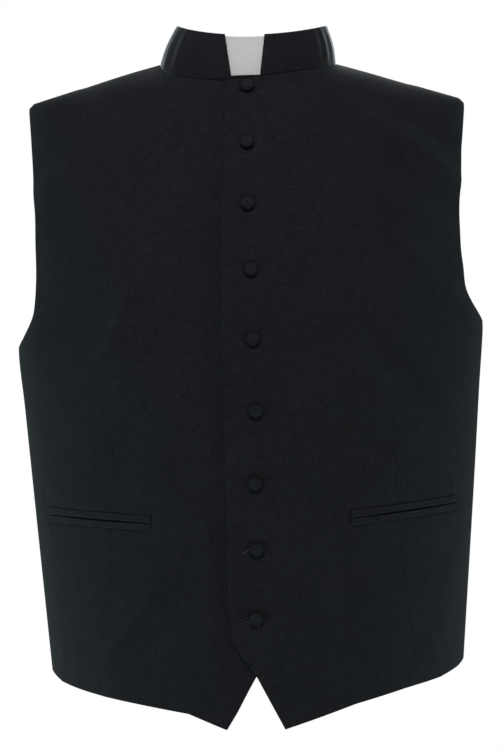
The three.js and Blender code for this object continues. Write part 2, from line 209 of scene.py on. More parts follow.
class Form:
    """The smooth hollow form of the worn vest. A station counts its sections from the neck."""

    def __init__(self, rings: Sequence[Ring]) -> None:
        """Works out the slopes of a curve through each column that never overshoots its values."""
        self.table = np.array([astuple(ring) for ring in rings], float)
        change = np.diff(self.table, axis=0)
        before, after = change[:-1], change[1:]
        level = before * after <= 0
        total = np.where(level, 1.0, before + after)
        self.slopes = np.vstack([change[:1], np.where(level, 0.0, 2 * before * after / total), change[-1:]])

    def ring(self, station: Values) -> Ring:
        """The ring at each station."""
        station = np.asarray(station, float)
        first = np.clip(np.floor(station).astype(int), 0, LAST - 1)
        t = (station - first)[..., None]
        start, leave = (1 + 2 * t) * (1 - t) ** 2, t * (1 - t) ** 2
        end, arrive = t * t * (3 - 2 * t), t * t * (t - 1)
        row = (start * self.table[first] + leave * self.slopes[first]
               + end * self.table[first + 1] + arrive * self.slopes[first + 1])
        return Ring(*np.moveaxis(row, -1, 0))

    def point(self, station: Values, angle: Values, facing: Facing) -> np.ndarray:
        """The point of the form at each station and angle."""
        return self.ring(station).point(angle, facing)

    def normal(self, station: Values, angle: Values, facing: Facing) -> np.ndarray:
        """The outward normal at each station and angle."""
        limit = SIDE_ANGLE - 2 * PROBE
        at = np.clip(angle, -limit, limit)
        down = self.point(station + PROBE, at, facing) - self.point(station - PROBE, at, facing)
        around = self.point(station, at + PROBE, facing) - self.point(station, at - PROBE, facing)
        normal = np.cross(down, around) * -facing.value
        return normal / np.linalg.norm(normal, axis=-1, keepdims=True)

    def angle_at(self, station: Values, x: Values) -> np.ndarray:
        """The angle at which each station's ring reaches x on the front."""
        ring = self.ring(station)
        return turning_point(np.full(np.shape(x), -SIDE_ANGLE), SIDE_ANGLE,
                             lambda angle: ring.point(angle, Facing.FRONT)[..., 0] < x)

    def place(self, x: Values, z: Values) -> tuple[np.ndarray, np.ndarray]:
        """The station and angle of the front's point that shows at (x, z) from the front."""
        station = turning_point(np.full(np.shape(x), float(NECK)), float(LAST),
                                lambda at: self.point(at, self.angle_at(at, x), Facing.FRONT)[..., 2] > z)
        return station, self.angle_at(station, x)


FORM = Form(SECTIONS)


@dataclass(frozen=True)
class Fold:
    """A soft fold along a line seen from the front. It goes in where its height is below 0."""

    x1: float
    z1: float
    x2: float
    z2: float
    width: float
    height: float

    def lift(self, x: np.ndarray, z: np.ndarray) -> np.ndarray:
        """How far the fold moves the cloth out at each (x, z)."""
        along = np.array([self.x2 - self.x1, self.z2 - self.z1])
        length = np.hypot(*along)
        share = ((x - self.x1) * along[0] + (z - self.z1) * along[1]) / length ** 2
        away = ((x - self.x1) * along[1] - (z - self.z1) * along[0]) / length / self.width
        fade = smooth(share, *FOLD_STARTS) * (1 - smooth(share, *FOLD_ENDS))
        return self.height * np.exp(-away * away) * fade


def folds(*rows: tuple[float, float, float, float, float, float]) -> tuple[Fold, ...]:
    """The folds of a table, whose columns are x1, z1, x2, z2, width and height."""
    return tuple(Fold(*row) for row in rows)


Operand = Union["Link", float]


@dataclass(frozen=True, eq=False)
class Link:
    """The value of a shader socket. An expression on it adds the Math nodes that work it out."""

    graph: "Graph"
    socket: bpy.types.NodeSocket

    def math(self, operation: str, *others: Operand, first: bool = True) -> "Link":
        """Adds a Math node for this value and the others, with this value first or last."""
        values = (self, *others) if first else (*others, self)
        return self.graph.node("ShaderNodeMath", dict(enumerate(values)), operation=operation)

    __add__ = __radd__ = partialmethod(math, "ADD")
    __sub__ = partialmethod(math, "SUBTRACT")
    __rsub__ = partialmethod(math, "SUBTRACT", first=False)
    __mul__ = __rmul__ = partialmethod(math, "MULTIPLY")
    __truediv__ = partialmethod(math, "DIVIDE")
    sine = partialmethod(math, "SINE")

    def smooth(self, low: float, high: float) -> "Link":
        """A soft step from 0 at low to 1 at high, or from 1 to 0 where low is the higher."""
        rising = low < high
        return self.graph.node(
            "ShaderNodeMapRange",
            {"Value": self, "From Min": min(low, high), "From Max": max(low, high),
             "To Min": 0.0 if rising else 1.0, "To Max": 1.0 if rising else 0.0},
            interpolation_type="SMOOTHSTEP")

    def axis(self, number: int) -> "Link":
        """One axis of a vector."""
        return self.graph.node("ShaderNodeSeparateXYZ", {0: self}, number)

    def vector_math(self, operation: str, *others: object) -> "Link":
        """Adds a Vector Math node for this vector and the others."""
        return self.graph.node("ShaderNodeVectorMath", dict(enumerate((self, *others))), operation=operation)


class Graph:
    """The nodes of one material or world, built up from values and links."""

    def __init__(self, owner: Union[bpy.types.Material, bpy.types.World]) -> None:
        """Clears the nodes of the material or world that the graph is for."""
        owner.use_nodes = True
        self.tree = owner.node_tree
        self.tree.nodes.clear()

    def node(self, kind: str, inputs: dict[object, object], output: object = 0, **settings: object) -> Link:
        """Adds a node.

        Args:
            kind: The node's type.
            inputs: A value or link for each socket, by name or number.
            output: The name or number of the socket to read.
            settings: The node's own settings, which are set first.

        Returns:
            The value of that socket.
        """
        made = self.tree.nodes.new(kind)
        for key, value in settings.items():
            setattr(made, key, value)
        for key, value in inputs.items():
            if isinstance(value, Link):
                self.tree.links.new(value.socket, made.inputs[key])
            else:
                made.inputs[key].default_value = value
        return Link(self, made.outputs[output])

    def attribute(self, name: str, output: str = "Fac") -> Link:
        """Reads one of the mesh's own attributes."""
        return self.node("ShaderNodeAttribute", {}, output, attribute_name=name)

    def noise(self, place: Link, size: float, detail: float = 2.0, roughness: float = 0.5) -> Link:
        """Soft noise from 0 to 1, whose patches are about size across in metres."""
        return self.node("ShaderNodeTexNoise", {"Vector": place, "Scale": 1.0 / size, "Detail": detail,
                                                "Roughness": roughness})

    def mix(self, share: Operand, start: Sequence[float], end: Sequence[float]) -> Link:
        """A colour between two others."""
        return self.node("ShaderNodeMix", {"Factor": share, "A": (*start, 1.0), "B": (*end, 1.0)}, "Result",
                         data_type="RGBA")

    def bump(self, height: Link) -> Link:
        """The normal of a surface with this height in metres."""
        return self.node("ShaderNodeBump", {"Height": height, "Strength": 1.0, "Distance": 1.0})

    def finish(self, shader: Link, output: str = "ShaderNodeOutputMaterial") -> None:
        """Ends the graph in this shader."""
        end = self.tree.nodes.new(output)
        self.tree.links.new(shader.socket, end.inputs["Surface"])

    def surface(self, inputs: dict[object, object]) -> None:
        """Ends the graph in a Principled surface with these inputs."""
        self.finish(self.node("ShaderNodeBsdfPrincipled", inputs))


@dataclass(frozen=True)
class Finish:
    """A finish, whose material is made once under the finish's name."""

    name: str

    def material(self) -> bpy.types.Material:
        """The finish's material."""
        if self.name not in bpy.data.materials:
            self.shade(Graph(bpy.data.materials.new(self.name)))
        return bpy.data.materials[self.name]

    def shade(self, graph: Graph) -> None:
        """Builds the shader in an empty graph."""
        raise NotImplementedError


@dataclass(frozen=True)
class ClothFinish(Finish):
    """Black wool suiting in a fine plain weave with slubs, with painted shade in seams, round buttons and at
    edges.
    """

    tone: float = 1.0
    shift: float = 0.0
    colour: tuple[float, float, float] = (0.0066, 0.0072, 0.0091)
    grain: float = 4.7
    mottling: float = 0.7
    clouding: float = 0.5
    weave_tone: float = 0.04
    weave_pitch: float = 0.00072
    weave_depth: float = 0.000015
    darkest: float = 0.25
    fleck: float = 0.0018
    mottle: float = 0.012
    cloud: float = 0.06
    slub_stretch: float = 0.16
    slub_weight: float = 0.5
    warp_stretch: float = 0.12
    warp_weight: float = 0.4
    mottle_roughness: float = 0.12
    fleck_roughness: float = 0.10
    nap_depth: float = 0.00012
    rumple_depth: float = 0.00022
    roughness: float = 0.86
    sheen: float = 0.04
    sheen_roughness: float = 0.5
    sheen_tint: tuple[float, float, float] = (0.60, 0.88, 1.0)
    specular: float = 0.12
    # painted shade along the edges where painted_edge_light is below 0, and a painted highlight there where
    # it is above 0
    painted_edge_width: float = 0.0015
    painted_edge_light: float = -0.5
    # the dart's dark seam line, and painted shade in the pocket's slit, in the ditch round the welts and
    # under button rims
    seam_and_shade_width: float = 0.0011
    line_seam_and_shade: float = 0.32
    outline_seam_and_shade: float = 0.08
    # a painted shadow round each button and along the lap
    painted_shadow_width: float = 0.004
    painted_shadow_strength: float = 0.32

    def shade(self, graph: Graph) -> None:
        """Builds the cloth's shader.

        Args:
            graph: The empty graph to build it in.
        """
        place = graph.attribute("threads", "Vector").vector_math(
            "MULTIPLY_ADD", (1, 1, 1), (self.shift, 0.3 * self.shift, 0))
        turns = 2 * math.pi / self.weave_pitch
        weave = (place.axis(0) * turns).sine() * (place.axis(1) * turns).sine()
        fleck = graph.noise(place, self.fleck, 3.0, 0.65)
        slub = graph.noise(place.vector_math("MULTIPLY", (self.slub_stretch, 1, 1)), self.fleck * 0.8, 1.0)
        warp = graph.noise(place.vector_math("MULTIPLY", (1, self.warp_stretch, 1)), self.fleck * 0.7, 1.0)
        mottle = graph.noise(place, self.mottle, 3.0, 0.6)
        cloud = graph.noise(place, self.cloud, 2.0)
        weights = 1.0 + self.slub_weight + self.warp_weight
        fine = (fleck + slub * self.slub_weight + warp * self.warp_weight) / weights
        tone = 1.0 + (fine - 0.5) * self.grain + (mottle - 0.5) * self.mottling
        tone = tone + (cloud - 0.5) * self.clouding
        tone = (tone + weave * self.weave_tone).math("MAXIMUM", self.darkest)
        # painted shade along the cloth's edges, and a painted highlight on them where painted_edge_light is
        # above 0
        painted_edge = graph.attribute("edge").smooth(self.painted_edge_width, 0.0) * (0.5 + fleck)
        # the dart's dark seam, and painted shade in the slit, round the welts and under the button rims
        seams_and_shade = graph.attribute("seams_and_shade", "Vector").vector_math("ABSOLUTE")
        line, outline = (seams_and_shade.axis(axis).smooth(self.seam_and_shade_width, 0.3 * self.seam_and_shade_width) for axis in (0, 1))
        seam_and_shade_darkening = (line * self.line_seam_and_shade).math("MAXIMUM", outline * self.outline_seam_and_shade)
        # painted shadow round the buttons and along the lap
        painted_shadow = seams_and_shade.axis(2).smooth(self.painted_shadow_width, 0.0) * self.painted_shadow_strength
        tone = tone * (1.0 + painted_edge * self.painted_edge_light) * (1.0 - seam_and_shade_darkening) * (1.0 - painted_shadow) * self.tone
        grey = graph.node("ShaderNodeCombineXYZ", {0: tone, 1: tone, 2: tone})
        height = weave * self.weave_depth + fine * self.nap_depth + mottle * self.rumple_depth
        roughness = self.roughness + (mottle - 0.5) * self.mottle_roughness
        roughness = roughness + (fleck - 0.5) * self.fleck_roughness
        graph.surface({
            "Base Color": grey.vector_math("MULTIPLY", self.colour),
            "Roughness": roughness,
            "Normal": graph.bump(height),
            "Specular IOR Level": self.specular, "Sheen Weight": self.sheen,
            "Sheen Roughness": self.sheen_roughness, "Sheen Tint": (*self.sheen_tint, 1.0)})


@dataclass(frozen=True)
class TabFinish(Finish):
    """The tab's white cotton, with faint ribs across it, darker between them and lighter near its edges."""

    name: str = "tab_cotton"
    light: tuple[float, float, float] = (0.52, 0.52, 0.51)
    dull: tuple[float, float, float] = (0.45, 0.45, 0.44)
    rib_pitch: float = 0.0021
    rib_depth: float = 0.00008
    grain: float = 0.0011
    grain_depth: float = 0.00006
    cloud: float = 0.012
    near_edge_width: float = 0.0012
    sheen: float = 0.1
    roughness: float = 0.62
    specular: float = 0.3

    def shade(self, graph: Graph) -> None:
        """Builds the cotton's shader.

        Args:
            graph: The empty graph to build it in.
        """
        place = graph.attribute("threads", "Vector")
        rib = (place.axis(1) * (2 * math.pi / self.rib_pitch)).sine() * 0.5 + 0.5
        grain = graph.noise(place.vector_math("MULTIPLY", (0.3, 1, 1)), self.grain, 3.0, 0.6)
        cloud = graph.noise(place, self.cloud, 2.0)
        near_edge = graph.attribute("edge").smooth(self.near_edge_width, 0.0)
        share = (rib * 0.3 + grain * 0.5 + cloud * 0.35 + near_edge * 0.2).smooth(0.15, 0.95)
        graph.surface({
            "Base Color": graph.mix(share, self.dull, self.light),
            "Roughness": self.roughness + (grain - 0.5) * 0.15,
            "Normal": graph.bump(rib * self.rib_depth + grain * self.grain_depth),
            "Specular IOR Level": self.specular, "Sheen Weight": self.sheen})


@dataclass(frozen=True)
class ThreadFinish(Finish):
    """Twisted sewing thread, darker between its strands."""

    colour: tuple[float, float, float]
    dark: float = 0.45
    light: float = 1.35
    twist_pitch: float = 0.0006
    twist_depth: float = 0.00008
    fuzz: float = 0.0007
    sheen: float = 0.15
    roughness: float = 0.6

    def shade(self, graph: Graph) -> None:
        """Builds the thread's shader.

        Args:
            graph: The empty graph to build it in.
        """
        place = graph.attribute("threads", "Vector")
        strand = ((place.axis(0) + place.axis(1)) * (2 * math.pi / self.twist_pitch)).sine() * 0.5 + 0.5
        fuzz = graph.noise(place, self.fuzz, 2.0)
        dark, light = ([share * value for value in self.colour] for share in (self.dark, self.light))
        graph.surface({
            "Base Color": graph.mix(strand * 0.6 + fuzz * 0.4, dark, light),
            "Roughness": self.roughness + (fuzz - 0.5) * 0.2,
            "Normal": graph.bump(strand * self.twist_depth), "Sheen Weight": self.sheen})


@dataclass(frozen=True)
class FloorFinish(Finish):
    """The plain pale floor, white to the camera and matt to the light."""

    name: str = "pale_floor"
    grey: float = 0.8

    def shade(self, graph: Graph) -> None:
        """Builds the floor's shader."""
        matt = graph.node("ShaderNodeBsdfDiffuse", {"Color": (self.grey, self.grey, self.grey, 1.0)})
        bright = graph.node("ShaderNodeEmission", {"Color": WHITE, "Strength": 1.0})
        seen = graph.node("ShaderNodeLightPath", {}, "Is Camera Ray")
        graph.finish(graph.node("ShaderNodeMixShader", {0: seen, 1: matt, 2: bright}))


FRONT_FOLDS = folds(
    (112, -62, 196, -122, 14, 1.4), (102, -88, 196, -156, 17, -3), (148, -188, 206, -212, 17, 2),
    (-158, -104, -200, -134, 12, 2), (-120, -122, -196, -160, 17, -2), (-112, -220, -130, -305, 15, 2.2),
    (-88, -478, -142, -585, 20, 2.4), (100, -490, 118, -600, 22, 1.8),
)
# Finer creases, left to the scene: beside the pockets' outer ends, at the hem, at the armpits and by the neck
FRONT_CREASES = folds(
    (78, -34, 199, -121, 6, 2.3), (134, -50, 199, -91, 9, -3.8), (80, -64, 150, -110, 12, -4.2),
    (68, -46, 128, -96, 11, -3.5), (122, -90, 189, -144, 12, -2.6), (-202, -123, -161, -100, 5, 1.3),
    (-201, -80, -160, -62, 4, 1.0), (-201, -104, -172, -81, 8, -1.4), (-136, -77, -74, -53, 14, -2.4),
    (-105, -41, -67, -31, 8, -1.0), (61, -30, 96, -54, 8, -1.2), (130, -171, 180, -226, 7, 2.0),
    (143, -157, 192, -202, 12, -1.8), (-112, -219, -130, -273, 6, 2.4), (-129, -270, -165, -314, 7, 2.0),
    (-138, -234, -193, -282, 17, -3.6), (-105, -253, -128, -302, 8, -0.6), (-72, -477, -142, -565, 6, 2.2),
    (-34, -486, -112, -552, 24, -2.6), (92, -248, 160, -335, 20, -4.2), (104, -262, 166, -340, 12, -2.6),
    (66, -333, 127, -382, 20, -4.2), (-100, -339, -137, -399, 18, -3.0), (-79, -254, -73, -311, 16, -2.0),
    (-79, -367, -92, -429, 18, 0.9), (46, -403, 85, -499, 18, -2.9), (-188, -404, -189, -416, 7, 0.9),
    (-195, -411, -195.4, -424, 1.8, 0.5), (-196, -446, -195.5, -456, 2.2, 0.4),
    (189.2, -406, 189.2, -420, 1.7, 0.6), (190, -440, 188.5, -450, 1.8, 0.6),
    (-183, -550, -189, -582, 4.5, 0.8), (-168, -558, -175, -586, 4, 0.7), (165, -553, 171, -589, 5, 0.8),
    (184, -482, 177, -557, 7, 1.0), (62, -515, 141, -556, 13, -2.4), (81, -499, 151, -536, 12, 1.2),
    (-204, -236, -226, -268, 6, -0.8), (192, -232, 220, -270, 8, 0.9),
)
BACK_FOLDS = folds(
    (-96, -70, -186, -142, 18, -2), (92, -76, 180, -150, 18, -2), (-150, -196, -204, -232, 15, 1.8),
    (146, -190, 202, -226, 15, 1.8), (-70, -300, -180, -340, 20, 1.6), (64, -312, 178, -352, 20, 1.6),
    (-40, -380, -150, -416, 22, -1.8), (36, -372, 148, -410, 22, -1.8), (-84, -440, -104, -585, 24, 2),
    (90, -440, 112, -585, 24, 2),
)
BACK_CREASES = folds(
    (-104, -84, -192, -160, 7, 2), (84, -70, 172, -128, 8, 1.8), (112, -108, 196, -172, 10, -3),
    (-14, -96, 30, -132, 13, -1.8), (-122, -214, -196, -262, 10, -3.3), (-96, -246, -150, -306, 7, 2),
    (108, -236, 176, -292, 9, -3), (72, -338, 140, -380, 12, -3.3), (-58, -352, -128, -392, 8, 2),
    (-66, -470, -136, -556, 9, 2.4), (58, -492, 132, -552, 10, -2.7),
)
# Tables of where a line lies across at each height, or, for the hems, of its height at each place across
DART_LINE = ((-350, 132), (-415, 133), (-451, 135), (-485, 136.5), (-515, 140), (-555, 145.5), (-600, 150.5))
DART_START_Z = DART_LINE[0][0]

LEFT_EDGE = (
    (-20, -18.7), (-93, -22), (-150, -25.2), (-210, -26.9), (-525, -26.4), (-548, -24), (-566, -16),
    (-586, -1.5), (-636, 24),
)
RIGHT_EDGE = ((-20, 19), (-530, 20), (-586, -1.5), (-598, -8.5), (-620, -20.5), (-635.5, -30.5))
LEFT_HEM = ((24, -636), (57, -625.6), (91, -614.4), (137, -603), (173, -596), (192, -589.2), (203, -583))
RIGHT_HEM = (
    (-30.5, -635.5), (-66, -619.8), (-100, -613.4), (-146, -604.8), (-170, -599.4), (-188, -594.5),
    (-202, -586),
)
BACK_HEM_SIDE, BACK_HEM_CENTRE = -583.0, -590.0

ARMHOLE_CUT = {Facing.FRONT: math.radians(27), Facing.BACK: math.radians(25)}
ARMHOLE_WIDEST, ARMHOLE_TOP_CURVE, ARMHOLE_BOTTOM_CURVE = 0.62, 1.7, 2.6

BUTTON_PLACES = (
    (2, -31), (0.7, -86.7), (0, -145.1), (1.6, -206.7), (2.1, -271.6), (3, -338.1), (1, -405.4), (1, -466.6),
    (-1, -531),
)
POCKET_ENDS = {
    Hand.LEFT: ((89.8, -440.3), (192.5, -430.2)),
    Hand.RIGHT: ((97.0, -441.0), (195.5, -433.4)),
}
WELT_SLIT, WELT_HEIGHT = 0.8, 6.5
LAP_SHADOW_NARROWING, LAP_SHADOW_OFFSET = 6.0, 1.3  # the painted shadow along the lap: how much narrower above, how faint
BUTTON_RADIUS = 6.8
HOLE_CORNER, HOLE_ROUND, HOLE_PINCH = (0.55, 0.45), 0.35, 0.2  # how a buttonhole's ends narrow and round
RIPPLE_STARTS, RIPPLE_ENDS = (-0.2, 0.25), (-0.2, 0.15)  # where a ripple fades, past its low and high share
DIMPLE_DEPTH, DIMPLE_REACH = 1.5, 9.0  # the dimple that each button pulls in the fronts
DART_GROOVES = ((0.2, 1.1), (0.08, 5.0))  # depth and spread of the seam's groove and of the hollow round it
DART_DEEPENS = (-5, 40)  # the depths below the dart's start at which its groove begins and is full
POCKET_FINE = ((-4, 3), (-3, 6))  # the fine columns round the pocket's inner and outer end
DART_FINE, DART_FINE_TO = 2.5, -560.0  # half the width of the dart's fine columns, and the height they end at
FINE_ROWS = ((0.42, 0.56),)  # the rows round the pocket, as shares of the way from armpit to hem
POCKET_BED, POCKET_BED_RAMP = 1.1, 2.8  # how deep the welts lie in the front, and how wide the way down is
SLIT_DEPTH, SLIT_SPREAD, SLIT_FADE = 1.1, 1.5, 4.0  # the groove at the slit, and where it fades at its ends


def look_up(rows: Rows, at: Values) -> np.ndarray:
    """The second column of a table where its first column is at."""
    ordered = np.array(sorted(rows), float)
    return np.interp(at, ordered[:, 0], ordered[:, 1])


def lengths(points: np.ndarray, axis: int) -> np.ndarray:
    """The distance along each row (axis 1) or column (axis 0) of a grid from its first point."""
    step = np.linalg.norm(np.diff(points, axis=axis), axis=-1)
    zero = np.zeros_like(np.take(step, [0], axis=axis))
    return np.cumsum(np.concatenate([zero, step], axis=axis), axis=axis)


def measure(points: np.ndarray) -> tuple[np.ndarray, np.ndarray, np.ndarray]:
    """The distances along a grid's rows, along its columns, and to the nearest of its edges."""
    along, down = lengths(points, 1), lengths(points, 0)
    return along, down, np.minimum.reduce([along, along[:, -1:] - along, down, down[-1:] - down])


def grid_cells(rows: int, columns: int, round_rows: int = 0, round_columns: int = 0) -> np.ndarray:
    """The corners of each cell of a grid of points, as point numbers in a ring round the cell.

    Args:
        rows: The number of rows.
        columns: The number of columns.
        round_rows: 1 where the last row joins the first, and else 0.
        round_columns: The same for the columns.

    Returns:
        Four numbers for each cell.
    """
    index = np.arange(rows * columns).reshape(rows, columns)
    index = np.pad(index, ((0, round_rows), (0, round_columns)), "wrap")
    return np.stack([index[:-1, :-1], index[1:, :-1], index[1:, 1:], index[:-1, 1:]], axis=-1)


def mesh_object(name: str, points: np.ndarray, faces: Sequence[Sequence[int]]) -> bpy.types.Object:
    """Makes a smooth-shaded mesh object.

    Args:
        name: The new object's name.
        points: The points, in millimetres.
        faces: The corners of each face.

    Returns:
        The object, linked to the scene.
    """
    mesh = bpy.data.meshes.new(name)
    mesh.from_pydata((np.asarray(points) * MM).tolist(), [], [list(map(int, face)) for face in faces])
    mesh.shade_smooth()
    mesh.update()
    made = bpy.data.objects.new(name, mesh)
    bpy.context.scene.collection.objects.link(made)
    return made


def set_attribute(made: bpy.types.Object, name: str, values: np.ndarray) -> None:
    """Stores a number or vector for each point of a mesh, given in millimetres and kept in metres."""
    vector = values.shape[-1] == 3
    attribute = made.data.attributes.new(name, "FLOAT_VECTOR" if vector else "FLOAT", "POINT")
    attribute.data.foreach_set("vector" if vector else "value", (values * MM).astype(np.float32).ravel())


def dress(made: bpy.types.Object, finish: Finish, node: Optional[str] = None) -> None:
    """Gives a piece its material and puts it on the root, in place of a node where it has one."""
    made.data.materials.append(finish.material())
    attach(made, ROOT)
    if node:
        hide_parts(node)
    LOG.info("%s: %d faces", made.name, len(made.data.polygons))


def on_front(x: Values, z: Values, lift: Values) -> tuple[np.ndarray, np.ndarray]:
    """The points above the fronts' broad folds that show at (x, z), and the form's normals there."""
    station, angle = FORM.place(x, z)
    normals = FORM.normal(station, angle, Facing.FRONT)
    lift = lift + sum(fold.lift(x, z) for fold in FRONT_FOLDS)
    return FORM.point(station, angle, Facing.FRONT) + normals * lift[..., None], normals


@dataclass
class Cloth:
    """A grid of points on a cloth's outer face, with what its wall and its finish need at each point.

    threads holds the place along the weave and edge the distance to the cloth's edge, which the finish also
    uses for painted shade. seams_and_shade holds the signed distances to a sewn line or slit and to a seam
    round a piece, and the distance to the nearest button's rim or to the lap, which the finish darkens as
    dark seams and painted shade. keep tells which cells are cloth, and a closed grid joins its last column to
    its first.
    """

    points: np.ndarray
    normals: np.ndarray
    threads: np.ndarray
    edge: np.ndarray
    seams_and_shade: Optional[np.ndarray] = None
    keep: Optional[np.ndarray] = None
    closed: bool = False

    def wall(self, name: str, thickness: float) -> bpy.types.Object:
        """Makes the cloth as a closed wall with rounded edges.

        Args:
            name: The new object's name.
            thickness: The wall's thickness.

        Returns:
            The object, with its threads, edge and seams as attributes for its finish.
        """
        radius = EDGE_ROUND * thickness
        inside = np.clip(radius - self.edge, 0.0, radius)
        turn = (radius - np.sqrt(np.maximum(radius ** 2 - inside ** 2, 0.0)))[..., None]
        outer = (self.points - self.normals * turn).reshape(-1, 3)
        inner = (self.points - self.normals * (thickness - turn)).reshape(-1, 3)
        cells = grid_cells(*self.edge.shape, round_columns=int(self.closed))
        cells = cells.reshape(-1, 4) if self.keep is None else cells[self.keep]
        a, b, c = (outer[cells[:, i]] for i in range(3))
        if np.einsum("ij,ij->", np.cross(b - a, c - b), self.normals.reshape(-1, 3)[cells[:, 0]]) < 0:
            cells = cells[:, ::-1]
        count = len(outer)
        sides = np.concatenate([cells[:, [i, (i + 1) % 4]] for i in range(4)])
        key = sides[:, 0] * count + sides[:, 1]
        first, second = sides[~np.isin(key, sides[:, 1] * count + sides[:, 0])].T
        rim = np.stack([second, first, first + count, second + count], axis=1)
        faces = np.concatenate([cells, cells[:, ::-1] + count, rim])
        used, faces = np.unique(faces, return_inverse=True)
        made = mesh_object(name, np.concatenate([outer, inner])[used], faces.reshape(-1, 4))
        threads = np.concatenate([self.threads.reshape(-1, 2), np.zeros((count, 1))], axis=1)
        seams_and_shade = np.full((count, 3), FAR) if self.seams_and_shade is None else self.seams_and_shade.reshape(-1, 3)
        for attribute, values in (("threads", threads), ("edge", self.edge.ravel()), ("seams_and_shade", seams_and_shade)):
            set_attribute(made, attribute, values[used % count])
        return made


@dataclass
class Panel:
    """A panel of the body: its node, half, hand, wall, finish, flat size, and its grid's steps and reach."""

    node: str
    facing: Facing
    hand: Hand
    thickness: float
    finish: ClothFinish
    flat: tuple[float, float]
    area: float
    fine_rows: Rows = ()  # the stretches between armpit and hem that need a finer grid
    columns: int = 166
    width: float = 280.0
    fine_across: float = 2.6
    yoke_rows: int = 36
    yoke: float = 100.0
    armhole_rows: int = 76
    body_rows: int = 126
    body: float = 340.0
    fine_down: float = 3.4

    def start_angle(self, station: np.ndarray) -> np.ndarray:
        """The angle at which each row starts."""
        raise NotImplementedError

    def hem_stations(self, share: np.ndarray) -> np.ndarray:
        """The station at which each column ends."""
        raise NotImplementedError

    def relief(self, x: np.ndarray, z: np.ndarray) -> np.ndarray:
        """How far the cloth stands out from the smooth form."""
        raise NotImplementedError

    def seams_and_shade(self, x: np.ndarray, z: np.ndarray) -> Optional[np.ndarray]:
        """The distances to the lines sewn in the panel and to where the finish paints shade."""
        return None

    def fine_columns(self) -> list[tuple[float, float]]:
        """The stretches of the panel's width that need a finer grid."""
        return []

    def edge_angle(self, station: np.ndarray) -> np.ndarray:
        """The angle of the outer edge: the shoulder seam, then the armhole, then the side seam."""
        ring = FORM.ring(station)
        seam = SIDE_ANGLE + SEAM_LAP / (ring.front_depth if self.facing is Facing.FRONT else ring.back_depth)
        share = np.clip((station - SHOULDER_END) / (ARMPIT - SHOULDER_END), 0.0, 1.0)
        above = share < ARMHOLE_WIDEST
        away = np.where(above, 1 - share / ARMHOLE_WIDEST, (share - ARMHOLE_WIDEST) / (1 - ARMHOLE_WIDEST))
        curve = np.where(above, ARMHOLE_TOP_CURVE, ARMHOLE_BOTTOM_CURVE)
        return seam - ARMHOLE_CUT[self.facing] * np.maximum(1 - away ** curve, 0.0) ** (1 / curve)

    def cloth(self) -> Cloth:
        """Lays the panel's grid over the form and lifts it by its relief.

        Returns:
            The panel's cloth.
        """
        share = steps(self.columns, self.width, bands=self.fine_columns(), finer=self.fine_across)
        outward = np.abs(2 * share - 1) if self.facing is Facing.BACK else share
        yoke = steps(self.yoke_rows, self.yoke)
        yoke = yoke[(yoke < 0.5) | np.isin(yoke, np.linspace(0.0, 1.0, self.yoke_rows + 1))]
        down = np.linspace(0.0, 1.0, self.armhole_rows + 1)[1:, None]
        rounded = (1 - np.cos(math.pi * down)) / 2
        to_hem = steps(self.body_rows, self.body, False, self.fine_rows, self.fine_down)[1:, None]
        station = np.concatenate([
            np.repeat(lerp(NECK, SHOULDER_END, yoke)[:, None], len(share), axis=1),
            lerp(SHOULDER_END, ARMPIT, lerp(down, rounded, outward ** 2)),
            lerp(ARMPIT, self.hem_stations(share)[None, :], to_hem),
        ])
        start, end = self.start_angle(station[:, 0]), self.hand.value * self.edge_angle(station[:, -1])
        angle = lerp(start[:, None], end[:, None], share[None, :])
        points = FORM.point(station, angle, self.facing)
        normals = FORM.normal(station, angle, self.facing)
        on_seam = (outward == 1.0) & ((station <= SHOULDER_END) | (station >= ARMPIT))
        normals[on_seam, 1] = 0.0
        normals /= np.linalg.norm(normals, axis=-1, keepdims=True)
        x, z = points[..., 0], points[..., 2]
        seams_and_shade = self.seams_and_shade(x, z)
        points = points + normals * self.relief(x, z)[..., None]
        along, below, edge = measure(points)
        rising = self.hand.value * angle
        middle = np.array([np.interp(0.0, row, length) for row, length in zip(rising, along)])
        threads = np.stack([self.hand.value * (along - middle[:, None]), below - points[:1, :, 2]], axis=-1)
        return Cloth(points, normals, threads, edge, seams_and_shade)

    def build(self) -> None:
        made = self.cloth().wall(f"{self.node}_cloth", self.thickness)
        dress(made, self.finish, self.node)


